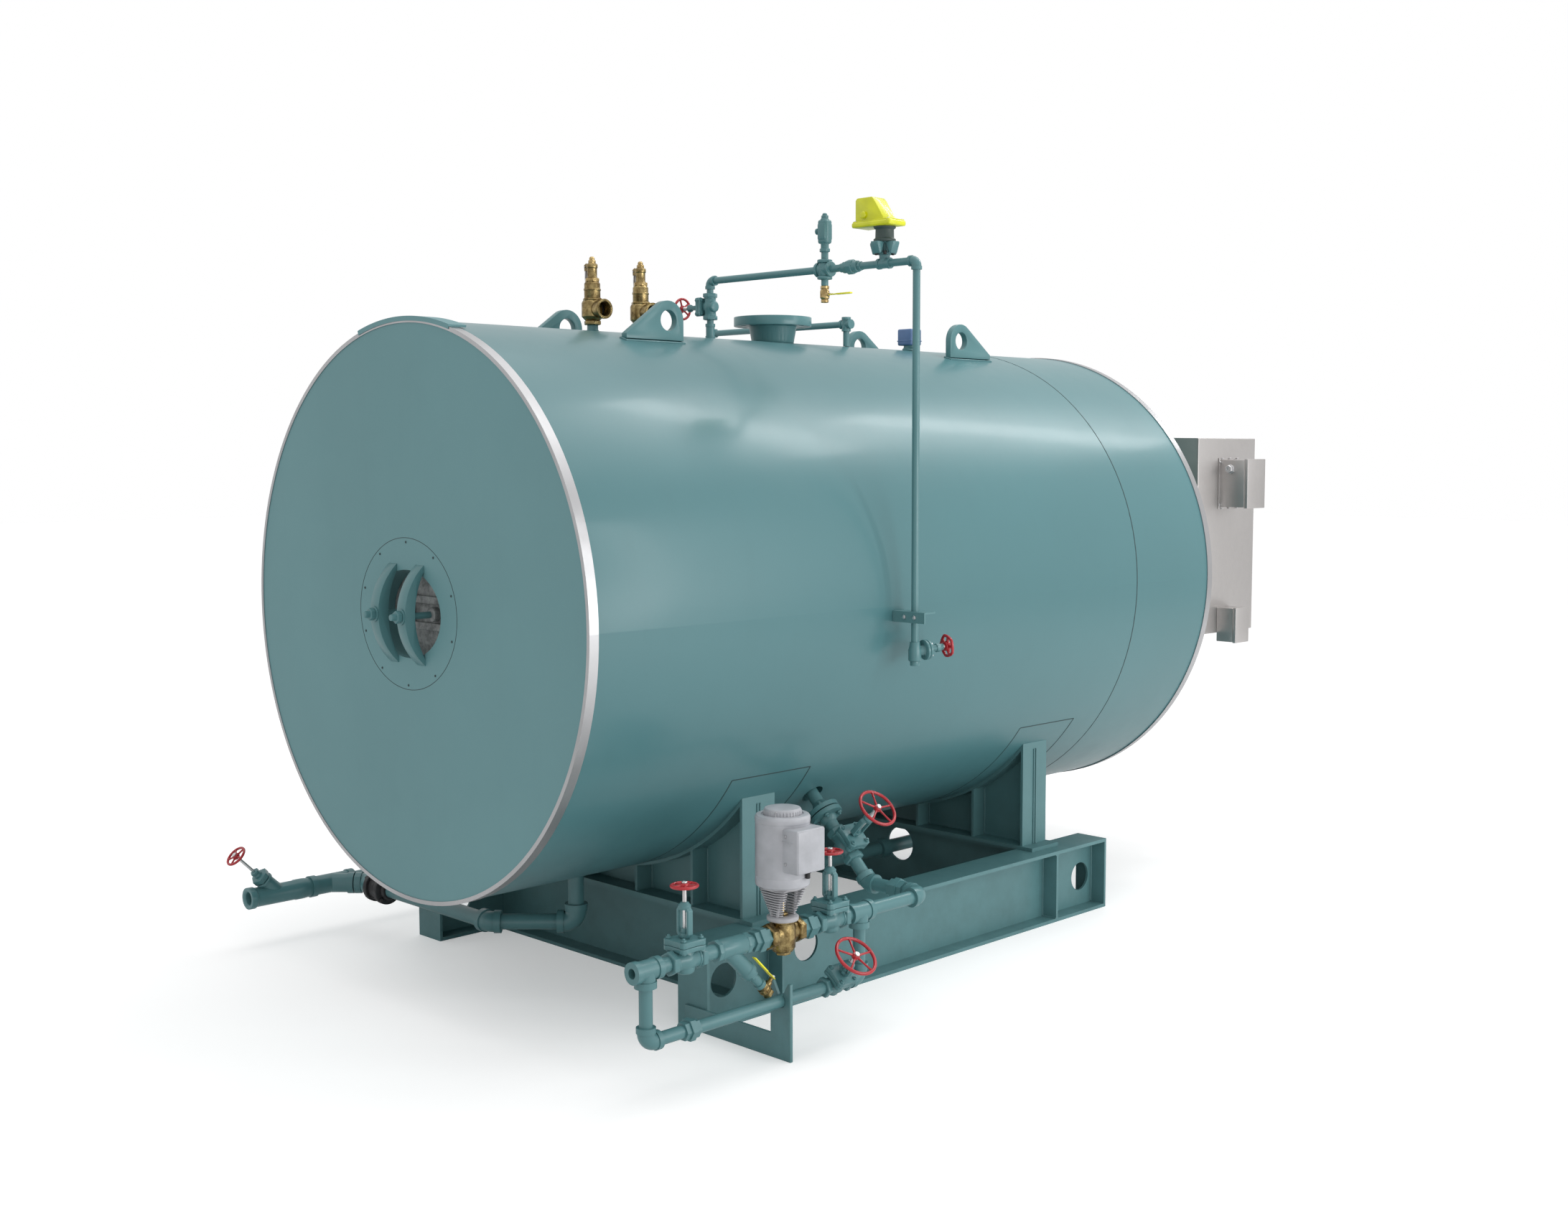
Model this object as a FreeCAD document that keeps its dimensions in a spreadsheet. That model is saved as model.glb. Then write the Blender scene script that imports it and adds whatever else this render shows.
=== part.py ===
import FreeCAD, Part
import math
import os
import re

import Sketcher
from FreeCAD import Rotation, Vector

# Steam boiler on a skid. Millimetres, +Z up, floor at Z = 0.
# The vessel lies along +Y, its front plate faces -Y and the feed valve train stands on the +X side.
# Pieces are laid out from the middle of the front plate's foot, and moved at the end to the plan centre.

SIZES = {
    "seat_gap": 0.3, "plan_centre_x": 76.18, "plan_centre_y": 2071,
    # vessel
    "vessel_radius": 1000, "vessel_length": 3510, "ground_clearance": 410, "wall": 60, "end_plate": 20,
    "ring_width": 33, "ring_gauge": 4, "ring_lip": 10, "lip_gauge": 3,
    "pocket_radius": 44, "pocket_depth": 30,
    # manway
    "manway_half_width": 203, "manway_half_height": 152, "manway_rim": 34, "manway_depth": 60,
    "cover_lap": 20, "cover_gauge": 18, "yoke_height": 344, "yoke_width": 50, "yoke_spacing": 165,
    "yoke_rise": 78, "yoke_depth": 40, "yoke_foot": 22, "stud_radius": 12, "stud_reach": 118,
    "nut_radius": 22, "nut_length": 22,
    # lifting lugs
    "lug_offset": 298, "lug_gauge": 28, "lug_inset": 725, "lug_length": 269.5, "lug_eye": 38,
    "lug_eye_height": 72, "lug_round": 71.5, "lug_nose": 18, "lug_slope": 37.7,
    # steam outlet: six inch class 300 weld neck flange
    "steam_flange": 159, "steam_flange_gauge": 37, "steam_standoff": 102, "steam_neck_top": 98,
    "steam_neck": 84, "steam_bore": 77, "steam_circle": 135, "steam_bolt": 11, "steam_skirt": 12,
    "steam_lip": 3,
    # safety valves
    "relief_first": 820, "relief_pitch": 233, "relief_inlet": 24, "relief_nipple": 40, "relief_taper": 9,
    "relief_body": 40, "relief_bowl": 64, "relief_bonnet": 30, "relief_bonnet_length": 60,
    "relief_spindle": 20, "relief_height": 275, "relief_cap": 17, "relief_cap_length": 20,
    "relief_outlet": 36, "relief_outlet_height": 80, "relief_bore": 26, "relief_reach": 74,
    "ear_reach": 30, "ear_width": 14, "ear_height": 26, "ear_drop": 62,
    "lever_gauge": 5, "lever_width": 16, "lever_length": 92, "lever_drop": 30,
    # skid
    "skid_start": 585, "skid_length": 2325, "beam_offset": 800, "beam_depth": 300, "flange_width": 150,
    "flange_gauge": 14, "web_gauge": 10, "end_gauge": 12, "hole_radius": 60, "near_hole": 140,
    "far_hole": 95, "hole_height": 138, "pass_station": 1133, "pass_height": 180, "drain_hole": 75,
    # saddles
    "front_saddle": 948, "saddle_pitch": 1612, "saddle_half": 750, "saddle_width": 160, "base_gauge": 15,
    "base_overhang": 60, "base_lap": 10, "plate_gauge": 12, "cradle_gauge": 12, "inner_rib": 165,
    "outer_rib": 480,
    # bracket that carries the bypass pipe beside the skid
    "bracket_lap": 27, "bracket_bar": 80, "bracket_post": 92, "bracket_rise": 62, "notch_half": 34,
    # handwheels and threaded pipe
    "small_wheel": 45, "large_wheel": 78, "knob_wheel": 45, "knob_gauge": 16, "rim_radius": 5,
    "stem_radius": 7,
    "spoke_radius": 3.5, "hub_wall": 6, "hub_lip": 2, "stem_tip": 6,
    "tube_radius": 13.4, "pipe_radius": 24, "bypass_radius": 21, "drain_radius": 30,
    # top line, the low water cutoff on it and its riser
    "top_line_setback": 345, "top_line_rise": 226, "top_valve_rise": 126, "top_rise": 165, "top_cross": 630,
    "top_union": 765, "top_tee": 928, "riser_reach": 80, "riser_drop": 194,
    "vent_stub": 62, "vent_side": 44, "vent_height": 92, "vent_tip": 12, "vent_tip_length": 22,
    "cock_stub": 34, "cock_radius": 16, "cock_length": 58, "cock_stem": 6, "cock_stem_reach": 26,
    "cock_lever_length": 110, "cock_lever_width": 14, "cock_lever_gauge": 4,
    "neck_radius": 40, "neck_height": 55, "wing_span": 112, "wing_gauge": 40, "wing_height": 46,
    "case_flange_back": 122, "case_flange_length": 185, "case_flange_width": 92, "case_flange_gauge": 20,
    "case_back": 112, "case_length": 136, "case_top": 79, "case_width": 68, "case_height": 86,
    "angle_leg": 60, "angle_drop": 40, "angle_gauge": 6, "angle_overhang": 70, "angle_height": 14,
    "drain_hex": 24, "drain_length": 70, "drain_stem": 10, "drain_rise": 138, "drain_tip": 12,
    "drain_nozzle": 20, "drain_nozzle_length": 18,
    # level line behind the steam outlet, and the limit switch
    "level_back": 333, "level_rise": 87.5, "level_cross": 100, "level_far": 740, "limit_offset": 100,
    "limit_back": 734, "limit_stem": 26, "limit_stem_length": 18, "limit_length": 80, "limit_width": 70,
    "limit_height": 72,
    # feed valve train
    "train_reach": 240, "train_height": 418, "bypass_height": 195, "train_front": 8, "mouth_bore": 16,
    "mouth_depth": 80, "inlet_valve": 165, "strainer_station": 355, "control_station": 585,
    "outlet_valve": 805,
    "return_tee": 947, "bypass_valve": 828, "feed_turn": 1266, "bypass_union": 180, "gate_rise": 230,
    "bypass_rise": 150, "bypass_tilt": 40,
    "strainer_half": 70, "strainer_body": 33, "strainer_branch": 26, "branch_length": 150, "plug_radius": 16,
    "branch_reach": 215, "branch_setback": 20, "outlet_cock": 20, "outlet_cock_length": 50, "outlet_bore": 9,
    "outlet_bore_depth": 30, "outlet_stem_station": 24, "outlet_stem_reach": 44, "outlet_lever_length": 120,
    "outlet_lever_width": 16, "lever_boss": 10, "lever_boss_height": 8,
    "control_half": 75, "control_body": 44, "control_height": 105, "control_drop": 62, "control_run": 34,
    "control_hex_length": 28, "control_stem": 14, "control_stem_length": 100,
    "yoke_base": 52, "yoke_base_gauge": 16, "yoke_low": 43, "yoke_top": 70, "yoke_top_gauge": 12,
    "yoke_plate_width": 90, "yoke_plate_gauge": 14, "yoke_plate_offset": 48, "yoke_plate_height": 118,
    "motor_radius": 90, "motor_height": 232, "motor_cap": 58, "motor_cap_height": 22,
    "side_box_reach": 130, "side_box_width": 124, "side_box_height": 141, "side_box_rise": 57,
    # feed line into the shell
    "feed_union": 142, "feed_valve_reach": 168, "feed_rise": 225, "feed_flange_reach": 312, "feed_flange": 62,
    "feed_flange_gauge": 17, "feed_flange_gap": 5,
    # control cabinet
    "cabinet_rise": 619, "cabinet_drop": 300, "neck_length": 247, "cabinet_depth": 503, "neck_inset": 3,
    "neck_clearance": 4.3, "box_setback": 185, "upper_box_reach": 154, "upper_box_width": 150,
    "upper_box_height": 222, "upper_box_rise": 296, "gland_radius": 18, "gland_length": 26,
    "gland_reach": 60, "gland_drop": 43, "lower_box_reach": 104, "lower_box_width": 113,
    "lower_box_height": 160, "lower_box_drop": 40,
    # blowdown
    "blowdown_height": 196, "front_drop": 711, "rear_drop": 2780, "cross_run": 480, "header_reach": 200,
    "turn_jog": 105, "header_front": 6, "check_setback": 48, "check_body": 40, "check_half": 70,
    "check_flange": 62, "check_flange_gauge": 24, "check_flange_offset": 26, "coupling_station": 2428,
    "mouth_lip": 26, "blowdown_bore": 25, "blowdown_bore_depth": 70, "blowdown_stem_root": 136,
    "bonnet_radius": 30, "bonnet_length": 110, "packing_radius": 38, "packing_length": 24,
    "packing_reach": 100, "blowdown_rise": 254,
}

DERIVED = {
    "axis_height": "vessel_radius + ground_clearance",
    "seat_height": "axis_height + vessel_radius + seat_gap",
    "train_offset": "vessel_radius + train_reach",
    "riser_offset": "vessel_radius + riser_reach",
    "top_line": "vessel_length / 2 - top_line_setback",
    "top_line_height": "seat_height + top_line_rise",
    "foot_height": "seat_height + 2.2 * tube_radius",
    "level_station": "vessel_length / 2 + level_back",
    "level_line_height": "seat_height + level_rise",
    "neck_half": "sqrt((vessel_radius - ring_lip - neck_clearance) ^ 2 - cabinet_rise ^ 2)",
    "cabinet_half": "neck_half + neck_inset",
    "header_offset": "vessel_radius + header_reach",
    "feed_start": "axis_height - train_height",
    "rear_saddle": "front_saddle + saddle_pitch",
    "skid_end": "skid_start + skid_length",
}

# From the foot of the slanted feed pipe to the bottom of its pocket in the shell.
FEED_DEPTH = "(sqrt(2) * feed_start - vessel_radius + pocket_depth)"

STEAM_BOLTS = 12
WHEEL_SPOKES = 5
STEM_TILT = (0.3, 1, 0.1)
UP, DOWN = (0, 0, 1), (0, 0, -1)
LEFT, RIGHT = (-1, 0, 0), (1, 0, 0)
FORWARD, BACK = (0, -1, 0), (0, 1, 0)

# Threaded fittings, in pipe radii: outer radius of a body and of the band at its mouth, length of that
# band, radius of an elbow's bend, and the reach of a tee, a union and a valve from centre to mouth.
BODY, BAND, BAND_LENGTH, BEND = 1.3, 1.45, 0.85, 1.5
TEE_REACH, LATERAL_REACH, UNION_REACH, VALVE_REACH = 2.2, 3.3, 1.4, 2.9

doc = FreeCAD.newDocument("boiler")
sheet = doc.addObject("Spreadsheet::Sheet", "sizes")
for row, (alias, number) in enumerate(SIZES.items(), start=1):
    sheet.set(f"A{row}", alias)
    sheet.set(f"B{row}", str(number))
    sheet.setAlias(f"B{row}", alias)
doc.recompute()

nodes = []


# ---- expressions and places ----

def spelled(word):
    if word[0] in DERIVED:
        return f"({formula(DERIVED[word[0]])})"
    return f"sizes.{word[0]}" if word[0] in SIZES else word[0]


def formula(text):
    """An expression with each size read from its cell and each derived size written out."""
    return re.sub(r"[a-z_]+", spelled, str(text))


def bind(item, prop, text):
    item.setExpression(prop, formula(text))


def place(item, at, turn=Rotation()):
    item.Placement = FreeCAD.Placement(Vector(), turn)
    for letter, text in zip("xyz", at):
        bind(item, f"Placement.Base.{letter}", text)
    return item


def along(direction):
    """The turn that carries +Z onto a direction."""
    return Rotation(Vector(0, 0, 1), Vector(*direction))


def frame_turn(pipe_way, stem_way):
    """The turn that carries a valve's Y and Z onto a pipe direction and a stem direction."""
    second, third = Vector(*pipe_way).normalize(), Vector(*stem_way).normalize()
    return Rotation(second.cross(third), second, third, "XYZ")


def unit(direction):
    return tuple(Vector(*direction).normalize())


def shifted(at, direction, distance):
    """A point moved along a unit direction by a distance given as an expression."""
    return tuple(f"({text}) + ({part:.6f}) * ({distance})" for text, part in zip(at, direction))


def times(factor, text):
    return f"({factor} * ({text}))"


def shell_height(x):
    """The height at which a piece standing at x meets the top of the shell."""
    return f"axis_height + sqrt(vessel_radius ^ 2 - ({x}) ^ 2) + seat_gap"


# ---- solids ----

def box(size, at, turn=Rotation()):
    item = doc.addObject("Part::Box", "box")
    for prop, text in zip(("Length", "Width", "Height"), size):
        bind(item, prop, text)
    return place(item, at, turn)


def rod(radius, length, at, direction=UP):
    item = doc.addObject("Part::Cylinder", "rod")
    bind(item, "Radius", radius)
    bind(item, "Height", length)
    return place(item, at, along(direction))


def hexagon(radius, length, at, direction=UP):
    item = doc.addObject("Part::Prism", "hexagon")
    item.Polygon = 6
    bind(item, "Circumradius", radius)
    bind(item, "Height", length)
    return place(item, at, along(direction))


def ball(radius, at):
    item = doc.addObject("Part::Sphere", "ball")
    bind(item, "Radius", radius)
    return place(item, at)


def fuse(*parts):
    item = doc.addObject("Part::MultiFuse", "fuse")
    item.Shapes = list(parts)
    item.Refine = True
    return item


def cut(base, *tools):
    item = doc.addObject("Part::Cut", "cut")
    item.Base = base
    item.Tool = tools[0] if len(tools) == 1 else fuse(*tools)
    item.Refine = True
    return item


def common(first, second):
    item = doc.addObject("Part::Common", "common")
    item.Base = first
    item.Tool = second
    return item


def group(*parts):
    item = doc.addObject("Part::Compound", "group")
    item.Links = list(parts)
    return item


def node(label, item):
    """Names a finished piece and moves it so that the plant's plan centre is the origin."""
    item.Label = label
    bound = {path.lstrip("."): text for path, text in item.ExpressionEngine}
    for letter in "xy":
        path = f"Placement.Base.{letter}"
        item.setExpression(path, f"{bound.get(path, '0')} - sizes.plan_centre_{letter}")
    nodes.append(item)
    return item


def tube(outer, inner, length, at, direction=UP):
    return cut(rod(outer, length, at, direction), rod(inner, length, at, direction))


# ---- sketched solids ----

def body_sketch(name, plane):
    body = doc.addObject("PartDesign::Body", name)
    sketch = body.newObject("Sketcher::SketchObject", f"{name}_sketch")
    face = next(feature for feature in body.Origin.OriginFeatures if feature.Role == plane)
    sketch.AttachmentSupport = [(face, "")]
    sketch.MapMode = "FlatFace"
    return body, sketch


def pin(sketch, geometry, point, at):
    """Holds one point of a sketch at a pair of expressions, measured from the sketch's origin."""
    for kind, axis, text in (("DistanceX", -2, at[0]), ("DistanceY", -1, at[1])):
        if str(text) == "0":
            sketch.addConstraint(Sketcher.Constraint("PointOnObject", geometry, point, axis))
        else:
            index = sketch.addConstraint(Sketcher.Constraint(kind, -1, 1, geometry, point, 10.0))
            bind(sketch, f"Constraints[{index}]", text)


def outline(sketch, points):
    """A closed outline through points, each coordinate an expression held by its own constraint."""
    count, spread = len(points), 10
    spots = [Vector(spread * math.cos(2 * math.pi * i / count), spread * math.sin(2 * math.pi * i / count), 0)
             for i in range(count)]
    for i in range(count):
        sketch.addGeometry(Part.LineSegment(spots[i], spots[(i + 1) % count]))
    for i in range(count):
        sketch.addConstraint(Sketcher.Constraint("Coincident", i, 2, (i + 1) % count, 1))
    for i, point in enumerate(points):
        pin(sketch, i, 1, point)


def pad(body, sketch, length):
    """Both ways from the sketch, half the length each."""
    feature = body.newObject("PartDesign::Pad", f"{body.Name}_pad")
    feature.Profile = sketch
    bind(feature, "Length", length)
    feature.Midplane = True
    return body


def extruded(name, plane, points, length, at, turn=Rotation()):
    body, sketch = body_sketch(name, plane)
    outline(sketch, points)
    return place(pad(body, sketch, length), at, turn)


def turned(name, points, at, turn=Rotation()):
    """A solid of revolution about +Z from (radius, height) points."""
    body, sketch = body_sketch(name, "XZ_Plane")
    outline(sketch, points)
    feature = body.newObject("PartDesign::Revolution", f"{name}_turn")
    feature.Profile = sketch
    feature.ReferenceAxis = (sketch, ["V_Axis"])
    feature.Angle = 360
    return place(body, at, turn)


def oval(half_width, half_height, depth, front):
    """An elliptic solid along Y about the vessel's axis."""
    body, sketch = body_sketch("oval", "XZ_Plane")
    index = sketch.addGeometry(Part.Ellipse(Vector(20, 0, 0), Vector(0, 10, 0), Vector(0, 0, 0)))
    sketch.exposeInternalGeometry(index)
    sketch.addConstraint(Sketcher.Constraint("Coincident", index, 3, -1, 1))
    sketch.addConstraint(Sketcher.Constraint("Horizontal", index + 1))
    for kind, diameter, half, start in (("DistanceX", index + 1, half_width, 40.0),
                                        ("DistanceY", index + 2, half_height, 20.0)):
        span = sketch.addConstraint(Sketcher.Constraint(kind, diameter, 2, diameter, 1, start))
        bind(sketch, f"Constraints[{span}]", times(2, half))
    return place(pad(body, sketch, depth), ("0", f"({front}) + ({depth}) / 2", "axis_height"))


# ---- threaded pipe and fittings ----

def elbow(corner, first, second, radius):
    """A bent body between two outgoing directions, with a band at each mouth."""
    one, two = Vector(*first).normalize(), Vector(*second).normalize()
    middle = Vector(one + two).normalize()
    half_turn = math.pi / 2 - one.getAngle(two) / 2
    reach = math.tan(half_turn)
    to_centre = middle * (1 / math.cos(half_turn))
    start = (one * reach - to_centre).normalize()
    axis = start.cross((two * reach - to_centre).normalize()).normalize()
    curve = doc.addObject("Part::Torus", "bend")
    bind(curve, "Radius1", times(BEND, radius))
    bind(curve, "Radius2", times(BODY, radius))
    curve.Angle1 = -180
    curve.Angle2 = 180
    curve.Angle3 = math.degrees(2 * half_turn)
    place(curve, shifted(corner, to_centre, times(BEND, radius)),
          Rotation(start, axis.cross(start), axis, "XYZ"))
    mouths = [rod(times(BAND, radius), times(BAND_LENGTH, radius),
                  shifted(corner, way, times(f"{reach * BEND:.6f}", radius)), way) for way in (one, two)]
    return fuse(curve, *mouths)


def elbow_reach(radius, deflection=90):
    """The distance from an elbow's corner to its mouth."""
    return times(f"{BEND * math.tan(math.radians(deflection / 2)) + BAND_LENGTH:.6f}", radius)


def tee(centre, ways, radius, reach=TEE_REACH):
    """A tee, cross or lateral with one banded mouth for each way."""
    parts = []
    for way in ways:
        parts.append(rod(times(BODY, radius), times(reach - BAND_LENGTH / 2, radius), centre, way))
        parts.append(rod(times(BAND, radius), times(BAND_LENGTH, radius),
                         shifted(centre, way, times(reach - BAND_LENGTH, radius)), way))
    return fuse(ball(times(BODY, radius), centre), *parts)


def union(centre, way, radius):
    """A large hexagon nut between two smaller hexagon ends."""
    nut = hexagon(times(1.75, radius), radius, shifted(centre, way, times(-0.5, radius)), way)
    ends = hexagon(times(BAND, radius), times(2 * UNION_REACH, radius),
                   shifted(centre, way, times(-UNION_REACH, radius)), way)
    return fuse(nut, ends)


def coupling(centre, way, radius):
    """A plain sleeve over a pipe that runs through it."""
    return rod(times(BAND, radius), times(2 * BAND_LENGTH, radius),
               shifted(centre, way, times(-BAND_LENGTH, radius)), way)


def pipe(radius, start, way, first, last):
    """A pipe along one way from a starting point, between two distances from that point."""
    return rod(radius, f"({last}) - ({first})", shifted(start, way, first), way)


# ---- valves, built about their own port centre with the pipe along Y and the stem along Z ----

def gate_valve(port, rise):
    """Body with hexagon ends, square bolted bonnet, two-armed yoke, gland and stem."""
    run, throat = times(1.25, port), times(1.1, port)
    hex_radius, hex_length = times(1.6, port), times(0.9, port)
    bonnet, bonnet_low, bonnet_top = times(3.7, port), times(1.35, port), times(2.9, port)
    yoke_top = times(0.74, rise)
    arm_gauge, arm_depth, head_gauge = times(0.6, port), times(0.9, port), times(0.5, port)
    mouth = times(VALVE_REACH, port)
    body = rod(run, f"2 * {mouth} - {port}", ("0", f"{port} / 2 - {mouth}", "0"), BACK)
    ends = [hexagon(hex_radius, hex_length, ("0", text, "0"), BACK)
            for text in (f"-{mouth}", f"{mouth} - {hex_length}")]
    neck = rod(throat, f"({bonnet_low} + {bonnet_top}) / 2", ("0", "0", "0"))
    plate = box((bonnet, bonnet, f"{bonnet_top} - {bonnet_low}"),
                (f"-{bonnet} / 2", f"-{bonnet} / 2", bonnet_low))
    arms = [box((arm_gauge, arm_depth, f"{yoke_top} - {bonnet_top}"),
                (f"{side} * {arm_depth} - {arm_gauge} / 2", f"-{arm_depth} / 2", bonnet_top))
            for side in (-1, 1)]
    head = rod(times(1.4, port), head_gauge, ("0", "0", f"{yoke_top} - {head_gauge}"))
    gland = rod(times(0.45, port), times(1.4, port), ("0", "0", bonnet_top))
    stem = rod("stem_radius", f"({rise}) + rim_radius + stem_tip", ("0", "0", "0"))
    return fuse(body, *ends, neck, plate, *arms, head, gland, stem)


def handwheel(wheel):
    """Rim, spokes and a hub bored for the stem."""
    rim = doc.addObject("Part::Torus", "rim")
    bind(rim, "Radius1", f"({wheel}) - rim_radius")
    bind(rim, "Radius2", "rim_radius")
    hub_half = "(rim_radius + hub_lip)"
    hub = rod("stem_radius + hub_wall", f"2 * {hub_half}", ("0", "0", f"-{hub_half}"))
    spokes = []
    for i in range(WHEEL_SPOKES):
        angle = 2 * math.pi * i / WHEEL_SPOKES
        spokes.append(rod("spoke_radius", f"({wheel}) - rim_radius", ("0", "0", "0"),
                          (math.cos(angle), math.sin(angle), 0)))
    bore = rod("stem_radius + seat_gap", f"4 * {hub_half}", ("0", "0", f"-2 * {hub_half}"))
    return cut(fuse(rim, hub, *spokes), bore)


def valve_with_wheel(valve_label, wheel_label, centre, pipe_way, stem_way, port, rise, wheel):
    turn = frame_turn(pipe_way, stem_way)
    node(valve_label, place(gate_valve(port, rise), centre, turn))
    node(wheel_label, place(handwheel(wheel), shifted(centre, unit(stem_way), rise), turn))


# ---- vessel ----

def vessel():
    shell = tube("vessel_radius", "vessel_radius - wall", "vessel_length - 2 * end_plate",
                 ("0", "end_plate", "axis_height"), BACK)
    pocket = pipe("pocket_radius", ("feed_start", "feed_turn", "train_height"), unit((-1, 0, 1)),
                  f"{FEED_DEPTH} - 2 * pocket_depth", FEED_DEPTH)
    outlet = rod("steam_bore + steam_lip", "2 * wall", ("0", "vessel_length / 2", "seat_height - 1.5 * wall"))
    node("vessel_shell", cut(shell, pocket, outlet))
    disc = rod("vessel_radius", "end_plate", ("0", "0", "axis_height"), BACK)
    node("front_plate", cut(disc, oval("manway_half_width", "manway_half_height", "end_plate", "0")))
    node("rear_plate", rod("vessel_radius", "end_plate", ("0", "vessel_length", "axis_height"), FORWARD))
    rings = []
    for face, way in (("0", BACK), ("vessel_length", FORWARD)):
        centre = ("0", face, "axis_height")
        outer = rod("vessel_radius + seat_gap + ring_gauge", "ring_width + lip_gauge",
                    shifted(centre, way, "-lip_gauge"), way)
        seat = rod("vessel_radius + seat_gap", "ring_width", centre, way)
        mouth = rod("vessel_radius - ring_lip", "3 * lip_gauge", shifted(centre, way, "-2 * lip_gauge"), way)
        rings.append(cut(outer, seat, mouth))
    node("trim_rings", group(*rings))


def bow_radius(half_chord, rise):
    return f"((({half_chord}) ^ 2 + ({rise}) ^ 2) / (2 * ({rise})))"


def manway_yoke(x):
    """A bow that stands on the front plate above and below the opening, bored for its stud."""
    left = f"{x} - yoke_width / 2"
    outer = bow_radius("yoke_height / 2", "yoke_rise")
    inner = bow_radius("yoke_height / 2 - yoke_foot", "yoke_rise - yoke_depth")
    disc = rod(outer, "yoke_width", (left, f"{outer} - yoke_rise", "axis_height"), RIGHT)
    front = box(("yoke_width", "yoke_rise", "yoke_height"),
                (left, "-yoke_rise", "axis_height - yoke_height / 2"))
    hollow = rod(inner, "2 * yoke_width",
                 (f"{x} - yoke_width", f"{inner} - yoke_rise + yoke_depth", "axis_height"), RIGHT)
    eye = rod("stud_radius + seat_gap", "2 * yoke_rise", (x, "0", "axis_height"), FORWARD)
    return cut(common(disc, front), hollow, eye)


def manway():
    half_width, half_height = "manway_half_width", "manway_half_height"
    rim = oval(f"{half_width} + manway_rim", f"{half_height} + manway_rim", "manway_depth", "end_plate")
    node("manway_frame", cut(rim, oval(half_width, half_height, "manway_depth", "end_plate")))
    cover_front = "end_plate + manway_depth"
    plate = oval(f"{half_width} + cover_lap", f"{half_height} + cover_lap", "cover_gauge", cover_front)
    stations = [f"({side}) * yoke_spacing / 2" for side in (-1, 1)]
    studs = []
    for x in stations:
        centre = (x, "0", "axis_height")
        studs.append(pipe("stud_radius", centre, FORWARD, f"-({cover_front})", "stud_reach"))
        nut_seat = shifted(centre, FORWARD, "yoke_rise + seat_gap")
        studs.append(hexagon("nut_radius", "nut_length", nut_seat, FORWARD))
    node("manway_cover", fuse(plate, *studs))
    node("manway_yokes", group(*[manway_yoke(x) for x in stations]))


def lifting_lug(x, y, turn):
    """A plate with a sloped back, a round crown and an eye."""
    centre = "lug_length - lug_round"
    plate = extruded("lug", "YZ_Plane",
                     [("0", "0"), ("lug_length", "0"), ("lug_length", "lug_eye_height"),
                      (f"{centre} - lug_round * sin(lug_slope)",
                       "lug_eye_height + lug_round * cos(lug_slope)"), ("0", "lug_nose")],
                     "lug_gauge", ("0", "0", "0"))
    crown = rod("lug_round", "lug_gauge", ("-lug_gauge / 2", centre, "lug_eye_height"), RIGHT)
    eye = rod("lug_eye", "2 * lug_gauge", ("-lug_gauge", centre, "lug_eye_height"), RIGHT)
    return place(cut(fuse(plate, crown), eye), (x, y, shell_height("lug_offset - lug_gauge / 2")), turn)


def lifting_lugs():
    ends = (("lug_inset", Rotation()), ("vessel_length - lug_inset", Rotation(Vector(0, 0, 1), 180)))
    node("lifting_lugs", group(*[lifting_lug(f"({side}) * lug_offset", y, turn)
                                 for y, turn in ends for side in (-1, 1)]))


def steam_nozzle():
    middle = "vessel_length / 2"
    face_low = "steam_standoff - steam_flange_gauge"
    body = turned("nozzle_profile",
                  [("steam_bore", "-steam_skirt"), ("steam_neck", "-steam_skirt"),
                   ("steam_neck_top", face_low), ("steam_flange", face_low),
                   ("steam_flange", "steam_standoff"), ("steam_bore", "steam_standoff")],
                  ("0", middle, "seat_height"))
    shell = rod("vessel_radius + seat_gap", "vessel_length", ("0", "0", "axis_height"), BACK)
    holes = []
    for i in range(STEAM_BOLTS):
        angle = 2 * math.pi * (i + 0.5) / STEAM_BOLTS
        holes.append(rod("steam_bolt", "steam_flange_gauge",
                         (f"steam_circle * {math.cos(angle):.6f}",
                          f"{middle} + steam_circle * {math.sin(angle):.6f}", f"seat_height + {face_low}")))
    node("steam_nozzle", cut(body, shell, *holes))


def safety_valve(label, station):
    bowl = "relief_nipple + relief_taper"
    shoulder = f"{bowl} + relief_bowl"
    bonnet = f"{shoulder} + relief_taper"
    bonnet_top = f"{bonnet} + relief_bonnet_length"
    spindle = f"{bonnet_top} + relief_taper"
    cap = "relief_height - relief_cap_length"
    body = turned("relief_profile",
                  [("0", "0"), ("relief_inlet", "0"), ("relief_inlet", "relief_nipple"),
                   ("relief_body", bowl), ("relief_body", shoulder), ("relief_bonnet", bonnet),
                   ("relief_bonnet", bonnet_top),
                   ("relief_spindle", spindle), ("relief_spindle", cap), ("relief_cap", cap),
                   ("relief_cap", "relief_height"), ("0", "relief_height")],
                  ("0", station, "seat_height"))
    side = "seat_height + relief_outlet_height"
    outlet = rod("relief_outlet", "relief_reach", ("0", station, side), RIGHT)
    bore = rod("relief_bore", "relief_reach", ("relief_spindle", station, side), RIGHT)
    ears = box(("ear_reach - relief_spindle / 2", "ear_width", "ear_height"),
               ("-ear_reach", f"{station} - ear_width / 2", "seat_height + relief_height - ear_drop"))
    node(label, cut(fuse(body, outlet, ears), bore))
    node(f"{label}_lever", box(("lever_gauge", "lever_width", "lever_length"),
                               ("-ear_reach - lever_gauge - seat_gap", f"{station} - lever_width / 2",
                                "seat_height + relief_height - lever_drop - lever_length")))


# ---- skid ----

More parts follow.
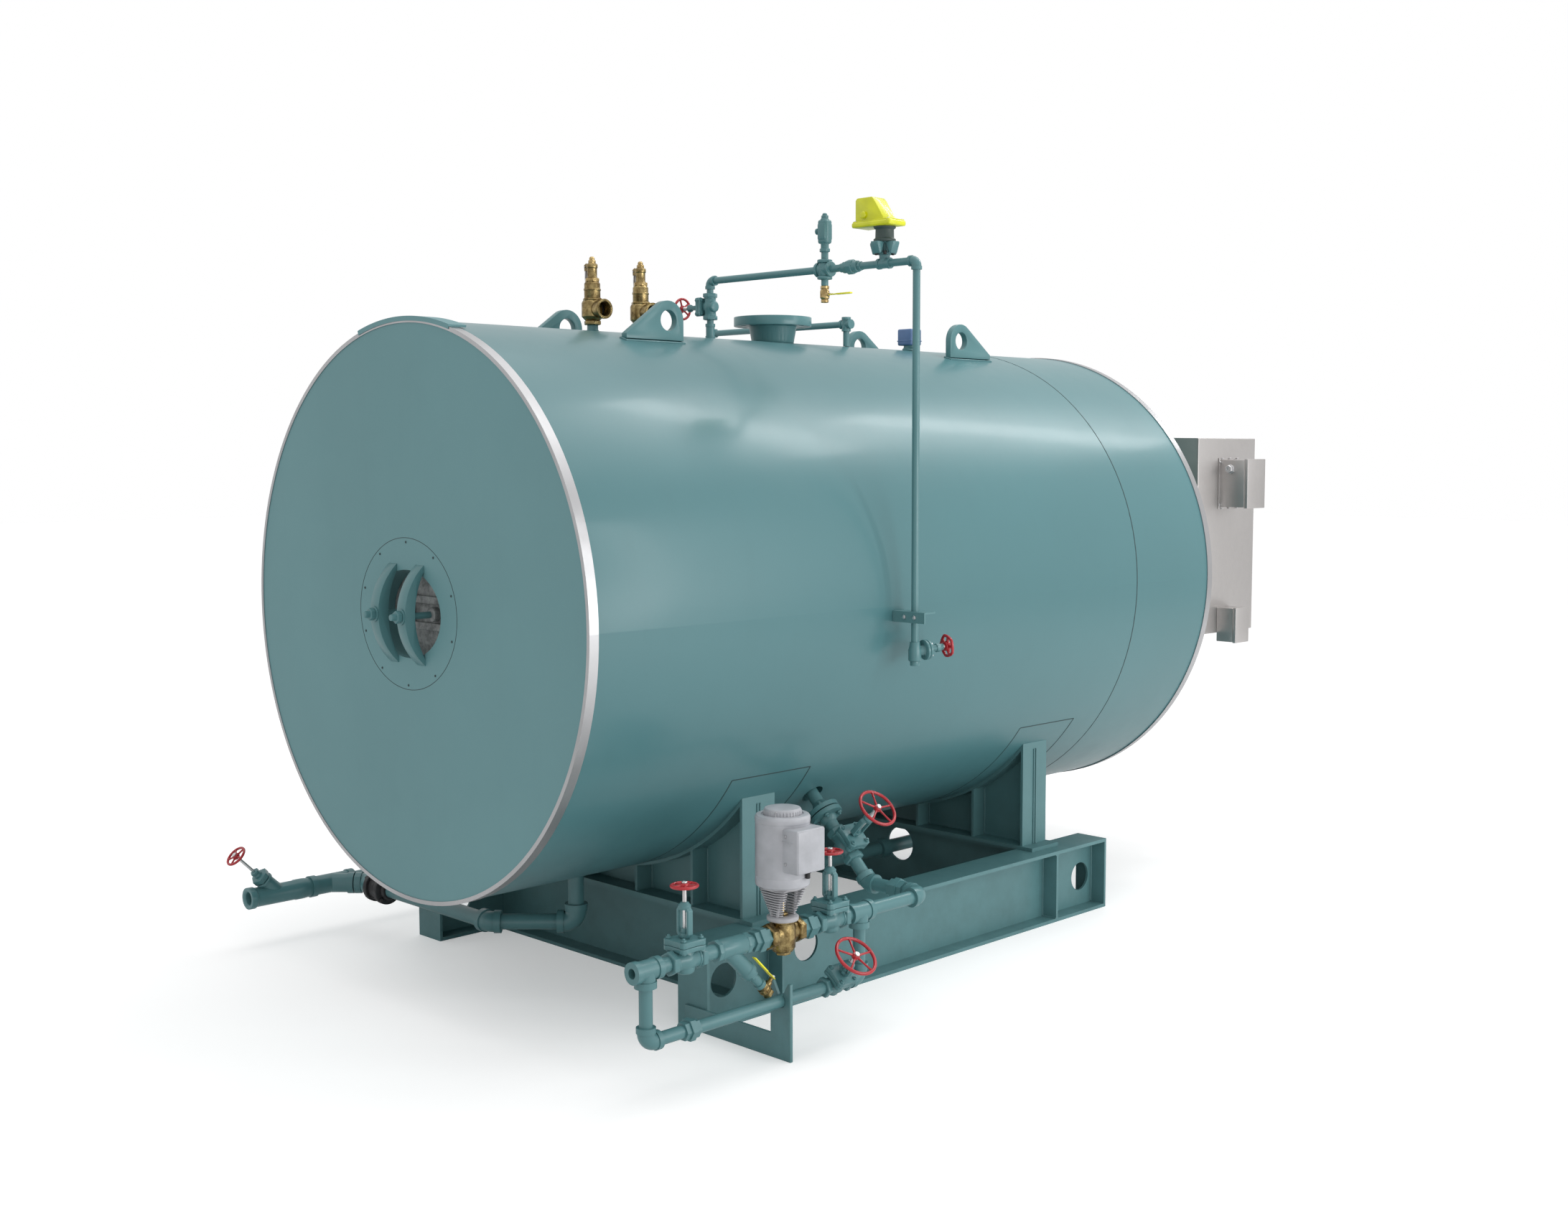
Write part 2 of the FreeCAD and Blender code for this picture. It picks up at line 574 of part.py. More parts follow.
def skid_beam(label, side):
    """A wide flange beam with end plates, stiffeners under the saddles and round holes."""
    depth, width, web = "beam_depth / 2", "flange_width / 2", "web_gauge / 2"
    inner = "(beam_depth / 2 - flange_gauge)"
    x = f"({side}) * beam_offset"
    profile = [(f"-{width}", f"-{depth}"), (width, f"-{depth}"), (width, f"-{inner}"), (web, f"-{inner}"),
               (web, inner), (width, inner), (width, depth), (f"-{width}", depth), (f"-{width}", inner),
               (f"-{web}", inner), (f"-{web}", f"-{inner}"), (f"-{width}", f"-{inner}")]
    beam = extruded("beam_profile", "XZ_Plane", profile, "skid_length - 2 * end_gauge",
                    (x, "skid_start + skid_length / 2", depth))
    ends = [box(("flange_width", "end_gauge", "beam_depth"), (f"{x} - {width}", y, "0"))
            for y in ("skid_start", "skid_end - end_gauge")]
    outward = x if side > 0 else f"{x} - {width}"
    stiffeners = [box((width, "plate_gauge", "beam_depth - 2 * flange_gauge"),
                      (outward, f"{y} - plate_gauge / 2", "flange_gauge"))
                  for y in ("front_saddle", "rear_saddle")]
    places = (("skid_start + near_hole", "hole_height"), ("skid_end - far_hole", "hole_height"),
              ("pass_station", "pass_height"))
    holes = [rod("hole_radius", "4 * web_gauge", (f"{x} - 2 * web_gauge", y, z), RIGHT) for y, z in places]
    node(label, cut(fuse(beam, *ends, *stiffeners), *holes))


def cross_beam(y):
    """A beam between the two skid beams, its web running on to theirs."""
    half_span = "(beam_offset - flange_width / 2)"
    flanges = [box((f"2 * {half_span}", "flange_width", "flange_gauge"),
                   (f"-{half_span}", f"{y} - flange_width / 2", z))
               for z in ("0", "beam_depth - flange_gauge")]
    web = box(("2 * beam_offset - web_gauge", "web_gauge", "beam_depth - 2 * flange_gauge"),
              ("-beam_offset + web_gauge / 2", f"{y} - web_gauge / 2", "flange_gauge"))
    return fuse(*flanges, web)


def cross_beams():
    pass_through = rod("drain_hole", "3 * web_gauge",
                       ("0", "rear_saddle - 1.5 * web_gauge", "blowdown_height"), BACK)
    node("cross_beams", group(cross_beam("front_saddle"), cut(cross_beam("rear_saddle"), pass_through)))


def saddle(label, y):
    """Base plate, cross web, upright ribs and a cradle strip, all cut to the shell's curve."""
    low = "beam_depth + base_gauge"
    rise = f"axis_height - {low}"
    front = f"{y} - saddle_width / 2"
    base = box(("2 * (saddle_half + base_overhang)", "saddle_width + 2 * base_lap", "base_gauge"),
               ("-saddle_half - base_overhang", f"{front} - base_lap", "beam_depth"))
    web = box(("2 * saddle_half", "plate_gauge", rise), ("-saddle_half", f"{y} - plate_gauge / 2", low))
    ribs = [box(("plate_gauge", "saddle_width", rise), (f"({x}) - plate_gauge / 2", front, low))
            for x in ("plate_gauge / 2 - saddle_half", "-outer_rib", "-inner_rib", "inner_rib", "outer_rib",
                      "saddle_half - plate_gauge / 2")]
    strip = rod("vessel_radius + seat_gap + cradle_gauge", "saddle_width", ("0", front, "axis_height"), BACK)
    below = box(("2 * saddle_half", "saddle_width", rise), ("-saddle_half", front, low))
    shell = rod("vessel_radius + seat_gap", "2 * saddle_width",
                ("0", f"{y} - saddle_width", "axis_height"), BACK)
    node(label, cut(fuse(base, web, *ribs, common(strip, below)), shell))


def pipe_brackets():
    """A flat angle on the skid's front end, with a notched post that carries the bypass pipe."""
    front, root = "skid_start - end_gauge / 2", "(beam_offset - bracket_lap)"
    reach, height = "train_offset + bracket_post / 2", "bypass_height + bracket_rise"
    right = extruded("right_bracket", "XZ_Plane",
                     [(root, "0"), (reach, "0"), (reach, height), ("train_offset + notch_half", height),
                      ("train_offset", "bypass_height"), ("train_offset - notch_half", height),
                      (f"{reach} - bracket_post", height), (f"{reach} - bracket_post", "bracket_bar"),
                      (root, "bracket_bar")], "end_gauge", ("0", front, "0"))
    seat = rod("bypass_radius + seat_gap", "3 * end_gauge",
               ("train_offset", "skid_start - 2 * end_gauge", "bypass_height"), BACK)
    node("pipe_brackets", cut(right, seat))


# ---- control cabinet on the rear plate ----

def cabinet():
    height, low = "cabinet_rise + cabinet_drop", "axis_height - cabinet_drop"
    front = "vessel_length + neck_length"
    node("cabinet_neck", box(("2 * neck_half", "neck_length", height), ("-neck_half", "vessel_length", low)))
    node("control_cabinet", box(("2 * cabinet_half", "cabinet_depth", height), ("-cabinet_half", front, low)))
    station = f"{front} + box_setback"
    upper_base = "axis_height + upper_box_rise"
    upper = box(("upper_box_reach", "upper_box_width", "upper_box_height"),
                ("cabinet_half", station, upper_base))
    gland_height = f"{upper_base} + upper_box_height - gland_drop"
    gland = hexagon("gland_radius", "gland_length", ("cabinet_half + gland_reach", station, gland_height),
                    FORWARD)
    lower = box(("lower_box_reach", "lower_box_width", "lower_box_height"),
                ("cabinet_half", station, f"{low} - lower_box_drop"))
    node("junction_boxes", group(fuse(upper, gland), lower))


# ---- top line ----

def top_line():
    """From a socket on the shell's crest up through a gate valve, then across to the riser."""
    r = "tube_radius"
    fitting, joint = times(TEE_REACH, r), times(UNION_REACH, r)
    bend, valve = elbow_reach(r), times(VALVE_REACH, r)
    valve_height = "seat_height + top_valve_rise"
    foot = ("0", "top_line", "foot_height")
    corner = ("0", "top_line", "top_line_height")
    valve_with_wheel("top_gate_valve", "top_gate_wheel", ("0", "top_line", valve_height), UP, LEFT,
                     r, "top_rise", "small_wheel")
    risers = [pipe(r, foot, UP, fitting, f"{valve_height} - {valve} - foot_height"),
              pipe(r, foot, UP, f"{valve_height} + {valve} - foot_height",
                   f"top_line_height - {bend} - foot_height")]
    stops = [("0", bend), ("top_cross", fitting), ("top_union", joint), ("top_tee", fitting),
             ("riser_offset", bend)]
    runs = [pipe(r, corner, RIGHT, f"{start} + {start_reach}", f"{end} - {end_reach}")
            for (start, start_reach), (end, end_reach) in zip(stops, stops[1:])]
    fittings = [tee(foot, (UP, DOWN), r),
                elbow(corner, RIGHT, DOWN, r),
                tee(("top_cross", "top_line", "top_line_height"), (RIGHT, LEFT, UP, DOWN), r),
                union(("top_union", "top_line", "top_line_height"), RIGHT, r),
                tee(("top_tee", "top_line", "top_line_height"), (RIGHT, LEFT, UP), r),
                elbow(("riser_offset", "top_line", "top_line_height"), LEFT, DOWN, r)]
    node("top_line", group(*risers, *runs, *fittings))


def vent_and_cock():
    x, y, fitting = "top_cross", "top_line", times(TEE_REACH, "tube_radius")
    low = f"top_line_height + {fitting}"
    chamber = f"{low} + vent_stub"
    node("air_vent", fuse(rod("tube_radius", "vent_stub", (x, y, low)),
                          box(("vent_side", "vent_side", "vent_height"),
                              (f"{x} - vent_side / 2", f"{y} - vent_side / 2", chamber)),
                          rod("vent_tip", "vent_tip_length", (x, y, f"{chamber} + vent_height"))))
    high = f"top_line_height - {fitting}"
    stem_height = f"{high} - cock_stub - cock_length / 2"
    node("test_cock", fuse(rod("tube_radius", "cock_stub", (x, y, high), DOWN),
                           hexagon("cock_radius", "cock_length", (x, y, f"{high} - cock_stub"), DOWN),
                           rod("cock_stem", "cock_stem_reach", (x, y, stem_height), RIGHT)))
    node("test_cock_lever", box(("cock_lever_length", "cock_lever_width", "cock_lever_gauge"),
                                (f"{x} + cock_stem_reach + seat_gap", f"{y} - cock_lever_width / 2",
                                 f"{stem_height} - cock_lever_gauge / 2")))


def level_control():
    """The low water cutoff: a ribbed neck on the tee, under a flanged cover with one sloped side."""
    x, y = "top_tee", "top_line"
    low = f"top_line_height + {times(TEE_REACH, 'tube_radius')}"
    neck = f"{low} + wing_height"
    wings = [box((across, deep, "wing_height"), (f"{x} - {across} / 2", f"{y} - {deep} / 2", low))
             for across, deep in (("wing_span", "wing_gauge"), ("wing_gauge", "wing_span"))]
    node("level_control", fuse(*wings, rod("neck_radius", "neck_height", (x, y, neck))))
    flange_low = f"{neck} + neck_height"
    flange = box(("case_flange_length", "case_flange_width", "case_flange_gauge"),
                 (f"{x} - case_flange_back", f"{y} - case_flange_width / 2", flange_low))
    case = extruded("case", "XZ_Plane",
                    [("-case_back", "0"), ("case_length - case_back", "0"),
                     ("case_top - case_back", "case_height"), ("-case_back", "case_height")],
                    "case_width", (x, y, f"{flange_low} + case_flange_gauge"))
    node("level_control_cover", fuse(flange, case))


def riser():
    x, y = "riser_offset", "top_line"
    foot = "axis_height - riser_drop"
    low = f"{foot} + drain_length"
    high = f"top_line_height - {elbow_reach('tube_radius')}"
    node("riser_pipe", rod("tube_radius", f"{high} - ({low})", (x, y, low)))
    shell_side, top = "vessel_radius + seat_gap", "axis_height - angle_height"
    reach = f"riser_offset + angle_overhang - ({shell_side})"
    front = f"{y} - angle_leg / 2"
    angle = fuse(box((reach, "angle_leg", "angle_gauge"), (shell_side, front, f"{top} - angle_gauge")),
                 box((reach, "angle_gauge", "angle_drop"), (shell_side, front, f"{top} - angle_drop")))
    node("riser_bracket", cut(angle, rod("tube_radius + seat_gap", "2 * angle_drop",
                                         (x, y, f"{top} - 1.5 * angle_drop"))))
    root, way = (x, y, f"{foot} + drain_length / 2"), unit(STEM_TILT)
    node("drain_valve", fuse(hexagon("drain_hex", "drain_length", (x, y, foot)),
                             rod("drain_stem", "drain_rise + drain_tip", root, way),
                             rod("drain_nozzle", "drain_nozzle_length", (x, y, foot), DOWN)))
    hub = hexagon("knob_wheel", "knob_gauge", ("0", "0", "-knob_gauge / 2"))
    bore = rod("drain_stem + seat_gap", "2 * knob_gauge", ("0", "0", "-knob_gauge"))
    node("drain_wheel", place(cut(hub, bore), shifted(root, way, "drain_rise"), along(STEM_TILT)))


def level_line():
    """From a cross on the crest to an elbow on the far side, and the limit switch behind it."""
    y, r = "level_station", "tube_radius"
    fitting, bend = times(TEE_REACH, r), elbow_reach(r)
    cross, corner = ("level_cross", y, "level_line_height"), ("-level_far", y, "level_line_height")
    near_seat, far_seat = shell_height("level_cross - tube_radius"), shell_height("level_far - tube_radius")
    stand = fuse(tee(cross, (LEFT, RIGHT, UP, DOWN), r),
                 rod(r, f"level_line_height - ({near_seat})", ("level_cross", y, near_seat)))
    run = pipe(r, corner, RIGHT, bend, f"level_far + level_cross - {fitting}")
    drop = rod(r, f"level_line_height - {bend} - ({far_seat})", ("-level_far", y, far_seat))
    node("level_line", group(run, stand, drop, elbow(corner, RIGHT, DOWN, r)))
    x, station = "limit_offset", "vessel_length / 2 + limit_back"
    seat = shell_height("limit_offset - limit_stem")
    node("limit_switch", fuse(rod("limit_stem", "limit_stem_length", (x, station, seat)),
                              box(("limit_length", "limit_width", "limit_height"),
                                  (f"{x} - limit_length / 2", f"{station} - limit_width / 2",
                                   f"{seat} + limit_stem_length"))))


# ---- feed valve train ----

def gate_valves():
    x, z = "train_offset", "train_height"
    for label, station in (("inlet", "inlet_valve"), ("outlet", "outlet_valve")):
        valve_with_wheel(f"{label}_gate_valve", f"{label}_wheel", (x, station, z), BACK, UP,
                         "pipe_radius", "gate_rise", "small_wheel")
    tilt = math.radians(SIZES["bypass_tilt"])
    valve_with_wheel("bypass_valve_body", "bypass_wheel", (x, "bypass_valve", "bypass_height"), BACK,
                     (math.sin(tilt), 0, math.cos(tilt)), "bypass_radius", "bypass_rise", "large_wheel")


def feed_run():
    """The upper run: open tee, strainer and control valve between gate valves, return tee and elbow."""
    x, z, r = "train_offset", "train_height", "pipe_radius"
    fitting, joint = times(TEE_REACH, r), times(UNION_REACH, r)
    valve, bend = times(VALVE_REACH, r), elbow_reach(r)
    first_union = f"control_station - control_half - {joint}"
    second_union = f"control_station + control_half + {joint}"
    stops = [("train_front", fitting, "inlet_valve", valve),
             ("inlet_valve", valve, "strainer_station", "strainer_half"),
             ("strainer_station", "strainer_half", first_union, joint),
             (second_union, joint, "outlet_valve", valve),
             ("outlet_valve", valve, "return_tee", fitting), ("return_tee", fitting, "feed_turn", bend)]
    runs = [pipe(r, (x, "0", z), BACK, f"{start} + {start_reach}", f"{end} - {end_reach}")
            for start, start_reach, end, end_reach in stops]
    mouth = rod("mouth_bore", "mouth_depth", (x, f"train_front - {fitting}", z), BACK)
    fittings = [cut(tee((x, "train_front", z), (FORWARD, BACK, DOWN), r), mouth),
                tee((x, "return_tee", z), (BACK, FORWARD, DOWN), r),
                elbow((x, "feed_turn", z), FORWARD, LEFT, r),
                union((x, first_union, z), BACK, r), union((x, second_union, z), BACK, r)]
    node("feed_run", group(*runs, *fittings))


def bypass_run():
    """The lower run, from the open tee round under the control valve to the return tee."""
    x, z, r = "train_offset", "bypass_height", "bypass_radius"
    bend, joint, valve = elbow_reach(r), times(UNION_REACH, r), times(VALVE_REACH, r)
    drop = f"train_height - {times(TEE_REACH, 'pipe_radius')} - bypass_height"
    ends = ("train_front", "return_tee")
    legs = [pipe(r, (x, y, z), UP, bend, drop) for y in ends]
    stops = [("train_front", bend, "bypass_union", joint), ("bypass_union", joint, "bypass_valve", valve),
             ("bypass_valve", valve, "return_tee", bend)]
    runs = [pipe(r, (x, "0", z), BACK, f"{start} + {start_reach}", f"{end} - {end_reach}")
            for start, start_reach, end, end_reach in stops]
    node("bypass_run", group(*legs, *runs, union((x, "bypass_union", z), BACK, r),
                             *[elbow((x, y, z), way, UP, r) for y, way in zip(ends, (BACK, FORWARD))]))


def strainer():
    """A Y strainer whose slanted leg ends in a small cock with a lever."""
    x, z = "train_offset", "train_height"
    leg, across = unit((0, 1, -1)), unit((0, 1, 1))
    root = (x, "strainer_station - branch_setback", z)
    body = pipe("strainer_body", (x, "strainer_station", z), BACK, "-strainer_half", "strainer_half")
    node("strainer", fuse(body, rod("strainer_branch", "branch_length", root, leg),
                          rod("plug_radius", "branch_reach", root, leg)))
    seat = shifted(root, leg, "branch_reach")
    stem_root = shifted(seat, leg, "outlet_stem_station")
    body = fuse(hexagon("outlet_cock", "outlet_cock_length", seat, leg),
                rod("cock_stem", "outlet_stem_reach", stem_root, across))
    bore = pipe("outlet_bore", seat, leg, "outlet_cock_length - outlet_bore_depth", "outlet_cock_length")
    node("strainer_cock", cut(body, bore))
    lever = fuse(box(("outlet_lever_width", "outlet_lever_length", "cock_lever_gauge"),
                     ("-outlet_lever_width / 2", "-outlet_lever_length", "0")),
                 rod("lever_boss", "lever_boss_height", ("0", "0", "0")))
    node("strainer_cock_lever", place(lever, shifted(stem_root, across, "outlet_stem_reach + seat_gap"),
                                      frame_turn(leg, across)))


def control_valve():
    """Bronze body on the pipe, open cast yoke over it and a cylindrical electric actuator on top."""
    x, y, z = "train_offset", "control_station", "train_height"
    body = [rod("control_body", "control_height", (x, y, f"{z} - control_drop")),
            rod("control_run", "2 * control_half", (x, f"{y} - control_half", z), BACK),
            rod("control_stem", "control_stem_length", (x, y, z))]
    body += [hexagon("control_body", "control_hex_length", (x, text, z), BACK)
             for text in (f"{y} - control_half", f"{y} + control_half - control_hex_length")]
    node("control_valve", fuse(*body))
    low = f"{z} + yoke_low"
    top = f"{low} + yoke_plate_height - yoke_top_gauge"
    plates = [box(("yoke_plate_width", "yoke_plate_gauge", "yoke_plate_height"),
                  (f"{x} - yoke_plate_width / 2",
                   f"{y} + ({side}) * yoke_plate_offset - yoke_plate_gauge / 2", low))
              for side in (-1, 1)]
    yoke = fuse(rod("yoke_base", "yoke_base_gauge", (x, y, low)),
                rod("yoke_top", "yoke_top_gauge", (x, y, top)), *plates)
    node("control_yoke", cut(yoke, rod("control_stem + seat_gap", "2 * yoke_plate_height", (x, y, z))))
    motor = f"{low} + yoke_plate_height"
    node("control_actuator", fuse(rod("motor_radius", "motor_height", (x, y, motor)),
                                  rod("motor_cap", "motor_cap_height", (x, y, f"{motor} + motor_height")),
                                  box(("side_box_reach", "side_box_width", "side_box_height"),
                                      (x, f"{y} - side_box_width / 2", f"{motor} + side_box_rise"))))


def feed_line():
    """From the valve train to the foot of a slanted pipe, and up through a stop valve into the shell."""
    r = "pipe_radius"
    foot, inward = ("feed_start", "feed_turn", "train_height"), unit((-1, 0, 1))
    hub, joint, valve = elbow_reach(r, 45), times(UNION_REACH, r), times(VALVE_REACH, r)
    far = f"train_offset - {elbow_reach(r)} - feed_start"
    end = f"{FEED_DEPTH} - seat_gap"
    plates = [pipe("feed_flange", foot, inward, start, f"{start} + feed_flange_gauge")
              for start in ("feed_flange_reach - feed_flange_gap / 2 - feed_flange_gauge",
                            "feed_flange_reach + feed_flange_gap / 2")]
    pieces = [elbow(foot, RIGHT, inward, r), pipe(r, foot, RIGHT, hub, f"feed_union - {joint}"),
              union(shifted(foot, RIGHT, "feed_union"), RIGHT, r),
              pipe(r, foot, RIGHT, f"feed_union + {joint}", far),
              pipe(r, foot, inward, hub, f"feed_valve_reach - {valve}"),
              fuse(pipe(r, foot, inward, f"feed_valve_reach + {valve}", end), *plates)]
    node("feed_line", group(*pieces))
    valve_with_wheel("feed_stop_valve", "feed_stop_wheel", shifted(foot, inward, "feed_valve_reach"), inward,
                     (1, 0, 1), r, "feed_rise", "large_wheel")


# ---- blowdown ----

def blowdown():
    """Two drops from the shell's bottom, joined in a header beside the skid that ends in a valve."""
    r, z = "drain_radius", "blowdown_height"
    bend, half_bend, lateral = elbow_reach(r), elbow_reach(r, 45), times(LATERAL_REACH, r)
    slant, back_slant = unit((-1, -1, 0)), unit((1, 1, 0))
    bottom = "ground_clearance - seat_gap - blowdown_height"
    jog, turn_offset = "front_drop - cross_run", "header_offset - turn_jog"
    meeting = "(cross_run - turn_jog)"
    front_drop, rear_drop = ("0", "front_drop", z), ("0", "rear_drop", z)
    meet, turn_out = (f"-({jog})", "cross_run", z), (f"-({turn_offset})", "cross_run", z)
    junction = ("-header_offset", meeting, z)
    pass_corner, header_corner = ("0", "pass_station", z), ("-header_offset", "pass_station", z)
    check_start = "(header_offset - turn_jog - check_setback - 2 * check_half)"
    line = [elbow(front_drop, UP, slant, r), pipe(r, front_drop, UP, bend, bottom),
            pipe(r, front_drop, slant, bend, f"sqrt(2) * ({jog}) - {half_bend}"),
            elbow(meet, back_slant, LEFT, r), pipe(r, meet, LEFT, half_bend, f"{check_start} - ({jog})"),
            elbow(turn_out, RIGHT, slant, r),
            pipe(r, turn_out, slant, half_bend, f"sqrt(2) * turn_jog - {lateral}"),
            tee(junction, (FORWARD, BACK, back_slant), r, LATERAL_REACH),
            elbow(rear_drop, UP, FORWARD, r), pipe(r, rear_drop, UP, bend, bottom),
            fuse(pipe(r, rear_drop, FORWARD, bend, f"rear_drop - pass_station - {bend}"),
                 coupling(("0", "coupling_station", z), BACK, r)),
            elbow(pass_corner, BACK, LEFT, r), pipe(r, pass_corner, LEFT, bend, f"header_offset - {bend}"),
            elbow(header_corner, RIGHT, FORWARD, r),
            pipe(r, header_corner, FORWARD, bend, f"pass_station - {meeting} - {lateral}")]
    node("blowdown_line", group(*line))
    centre = f"({check_start} + check_half)"
    root = ("0", "cross_run", z)
    flanges = [pipe("check_flange", root, LEFT, start, f"{start} + check_flange_gauge")
               for start in (f"{centre} - check_flange_offset - check_flange_gauge",
                             f"{centre} + check_flange_offset")]
    shell = pipe("check_body", root, LEFT, check_start, f"header_offset - turn_jog - {half_bend}")
    node("blowdown_check", fuse(shell, *flanges))
    outlet, stem_way = ("-header_offset", "header_front", z), unit((0, -1, 1))
    stem_root = ("-header_offset", "header_front + blowdown_stem_root", z)
    body = fuse(rod(times(BODY, r), f"{meeting} - {lateral} - header_front", outlet, BACK),
                rod(times(BAND, r), "mouth_lip", outlet, BACK),
                rod("bonnet_radius", "bonnet_length", stem_root, stem_way),
                pipe("packing_radius", stem_root, stem_way, "packing_reach",
                     "packing_reach + packing_length"),
                rod("stem_radius", "blowdown_rise + rim_radius + stem_tip", stem_root, stem_way))
    node("blowdown_valve", cut(body, rod("blowdown_bore", "blowdown_bore_depth", outlet, BACK)))
    node("blowdown_wheel", place(handwheel("small_wheel"), shifted(stem_root, stem_way, "blowdown_rise"),
                                 along(stem_way)))


vessel()
manway()
lifting_lugs()
steam_nozzle()
safety_valve("front_safety_valve", "relief_first")
safety_valve("rear_safety_valve", "relief_first + relief_pitch")
skid_beam("left_skid_beam", -1)
skid_beam("right_skid_beam", 1)
cross_beams()
saddle("front_saddle_support", "front_saddle")
saddle("rear_saddle_support", "rear_saddle")
pipe_brackets()
cabinet()
top_line()
vent_and_cock()
level_control()
riser()
level_line()
gate_valves()
feed_run()
bypass_run()
strainer()
control_valve()
feed_line()
blowdown()

doc.recompute()

for item in doc.Objects:
    if {"Invalid", "Error"} & set(item.State):
        raise RuntimeError(f"{item.Name} failed: {item.State}")
for item in nodes:
    if item.Shape.isNull() or not item.Shape.isValid():
        raise RuntimeError(f"{item.Label} has no valid shape")

os.makedirs("parts", exist_ok=True)
for item in nodes:
    item.Shape.exportStep(f"parts/{item.Label}.step")
    print(item.Label, len(item.Shape.Solids), round(item.Shape.Volume / 1e6, 3))
print(len(nodes), "nodes")
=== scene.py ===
import math

import bpy
from mathutils import Matrix, Vector


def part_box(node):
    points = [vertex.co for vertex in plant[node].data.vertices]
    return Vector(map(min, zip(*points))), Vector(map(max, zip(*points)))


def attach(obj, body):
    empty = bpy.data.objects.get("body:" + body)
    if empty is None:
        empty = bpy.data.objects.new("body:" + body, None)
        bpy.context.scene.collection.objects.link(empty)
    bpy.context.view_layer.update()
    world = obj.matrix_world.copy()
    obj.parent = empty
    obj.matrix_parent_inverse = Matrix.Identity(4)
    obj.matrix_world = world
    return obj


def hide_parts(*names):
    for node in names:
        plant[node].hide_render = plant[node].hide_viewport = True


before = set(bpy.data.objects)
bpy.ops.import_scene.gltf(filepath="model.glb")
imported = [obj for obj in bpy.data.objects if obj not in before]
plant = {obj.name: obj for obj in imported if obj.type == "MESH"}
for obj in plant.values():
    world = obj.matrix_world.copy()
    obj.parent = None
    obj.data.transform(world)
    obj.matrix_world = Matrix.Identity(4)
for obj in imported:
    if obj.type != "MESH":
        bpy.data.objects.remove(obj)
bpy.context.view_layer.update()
mm = 0.001
up, down, right, left = (0, 0, 1), (0, 0, -1), (1, 0, 0), (-1, 0, 0)
front, back = (0, -1, 0), (0, 1, 0)

vessel = {"length": 3510, "radius": 1000}
shellLow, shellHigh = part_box("vessel_shell")
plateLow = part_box("front_plate")[0]
centreX, axisZ = (shellLow.x + shellHigh.x) / 2, (shellLow.z + shellHigh.z) / 2 / mm
print("frame loaded,", len(plant), "nodes")


def at(x, y, z):
    # millimetres from the floor under the middle of the front plate
    return Vector((centreX + x * mm, plateLow.y + y * mm, z * mm))


def offset(x, y, z):
    return Vector((x, y, z)) * mm


def along(spot, way, distance):
    return spot + Vector(way).normalized() * distance * mm


def around(count, start=0.0):
    # flat directions spread evenly round the local Z axis
    angles = [2 * math.pi * (i + start) / count for i in range(count)]
    return [Vector((math.cos(angle), math.sin(angle), 0)) for angle in angles]


# shader sums are written as expressions on wires

class Wire:
    def __init__(self, paint, socket):
        self.paint = paint
        self.socket = socket

    def sum(self, operation, first, second=0.0):
        return self.paint.add("ShaderNodeMath", {"operation": operation}, {0: first, 1: second})

    def __add__(self, other):
        return self.sum("ADD", self, other)

    def __radd__(self, other):
        return self.sum("ADD", other, self)

    def __sub__(self, other):
        return self.sum("SUBTRACT", self, other)

    def __rsub__(self, other):
        return self.sum("SUBTRACT", other, self)

    def __mul__(self, other):
        return self.sum("MULTIPLY", self, other)

    def __rmul__(self, other):
        return self.sum("MULTIPLY", other, self)

    def above(self, low, high):
        limits = {"Value": self, "From Min": low, "From Max": high}
        return self.paint.add("ShaderNodeMapRange", {"clamp": True}, limits)


class Paint:
    def __init__(self, name):
        self.material = bpy.data.materials.new(name)
        self.material.use_nodes = True
        self.tree = self.material.node_tree
        self.tree.nodes.clear()

    def add(self, kind, settings, sockets, output=0):
        node = self.tree.nodes.new(kind)
        for key, value in settings.items():
            setattr(node, key, value)
        for key, value in sockets.items():
            socket = node.inputs[key]
            if isinstance(value, Wire):
                self.tree.links.new(value.socket, socket)
            else:
                socket.default_value = value
        return Wire(self, node.outputs[output])

    def mix(self, factor, first, second):
        first, second = [tone if isinstance(tone, Wire) else (*tone, 1) for tone in (first, second)]
        return self.add("ShaderNodeMix", {"data_type": "RGBA", "clamp_factor": True},
                        {0: factor, 6: first, 7: second}, 2)

    def place(self, stretch=(1, 1, 1)):
        spot = self.add("ShaderNodeTexCoord", {}, {}, "Object")
        return self.add("ShaderNodeMapping", {}, {"Vector": spot, "Scale": stretch})

    def cloud(self, scale, detail=3.0, stretch=(1, 1, 1), rough=0.5):
        grain = {"Vector": self.place(stretch), "Scale": scale, "Detail": detail, "Roughness": rough}
        return self.add("ShaderNodeTexNoise", {}, grain, "Fac")

    def upPart(self, kind, output):
        way = self.add(kind, {}, {}, output)
        return self.add("ShaderNodeSeparateXYZ", {}, {0: way}, "Z")

    def height(self):
        return self.upPart("ShaderNodeTexCoord", "Object")

    def facingUp(self):
        return self.upPart("ShaderNodeNewGeometry", "Normal")

    def bump(self, height, strength, distance):
        skin = {"Height": height, "Strength": strength, "Distance": distance}
        return self.add("ShaderNodeBump", {}, skin, "Normal")

    def finish(self, sockets):
        surface = self.add("ShaderNodeBsdfPrincipled", {}, sockets, "BSDF")
        output = self.tree.nodes.new("ShaderNodeOutputMaterial")
        self.tree.links.new(surface.socket, output.inputs["Surface"])
        return self.material


def tinted(tone, factor):
    return tuple(min(1.0, part * factor) for part in tone)


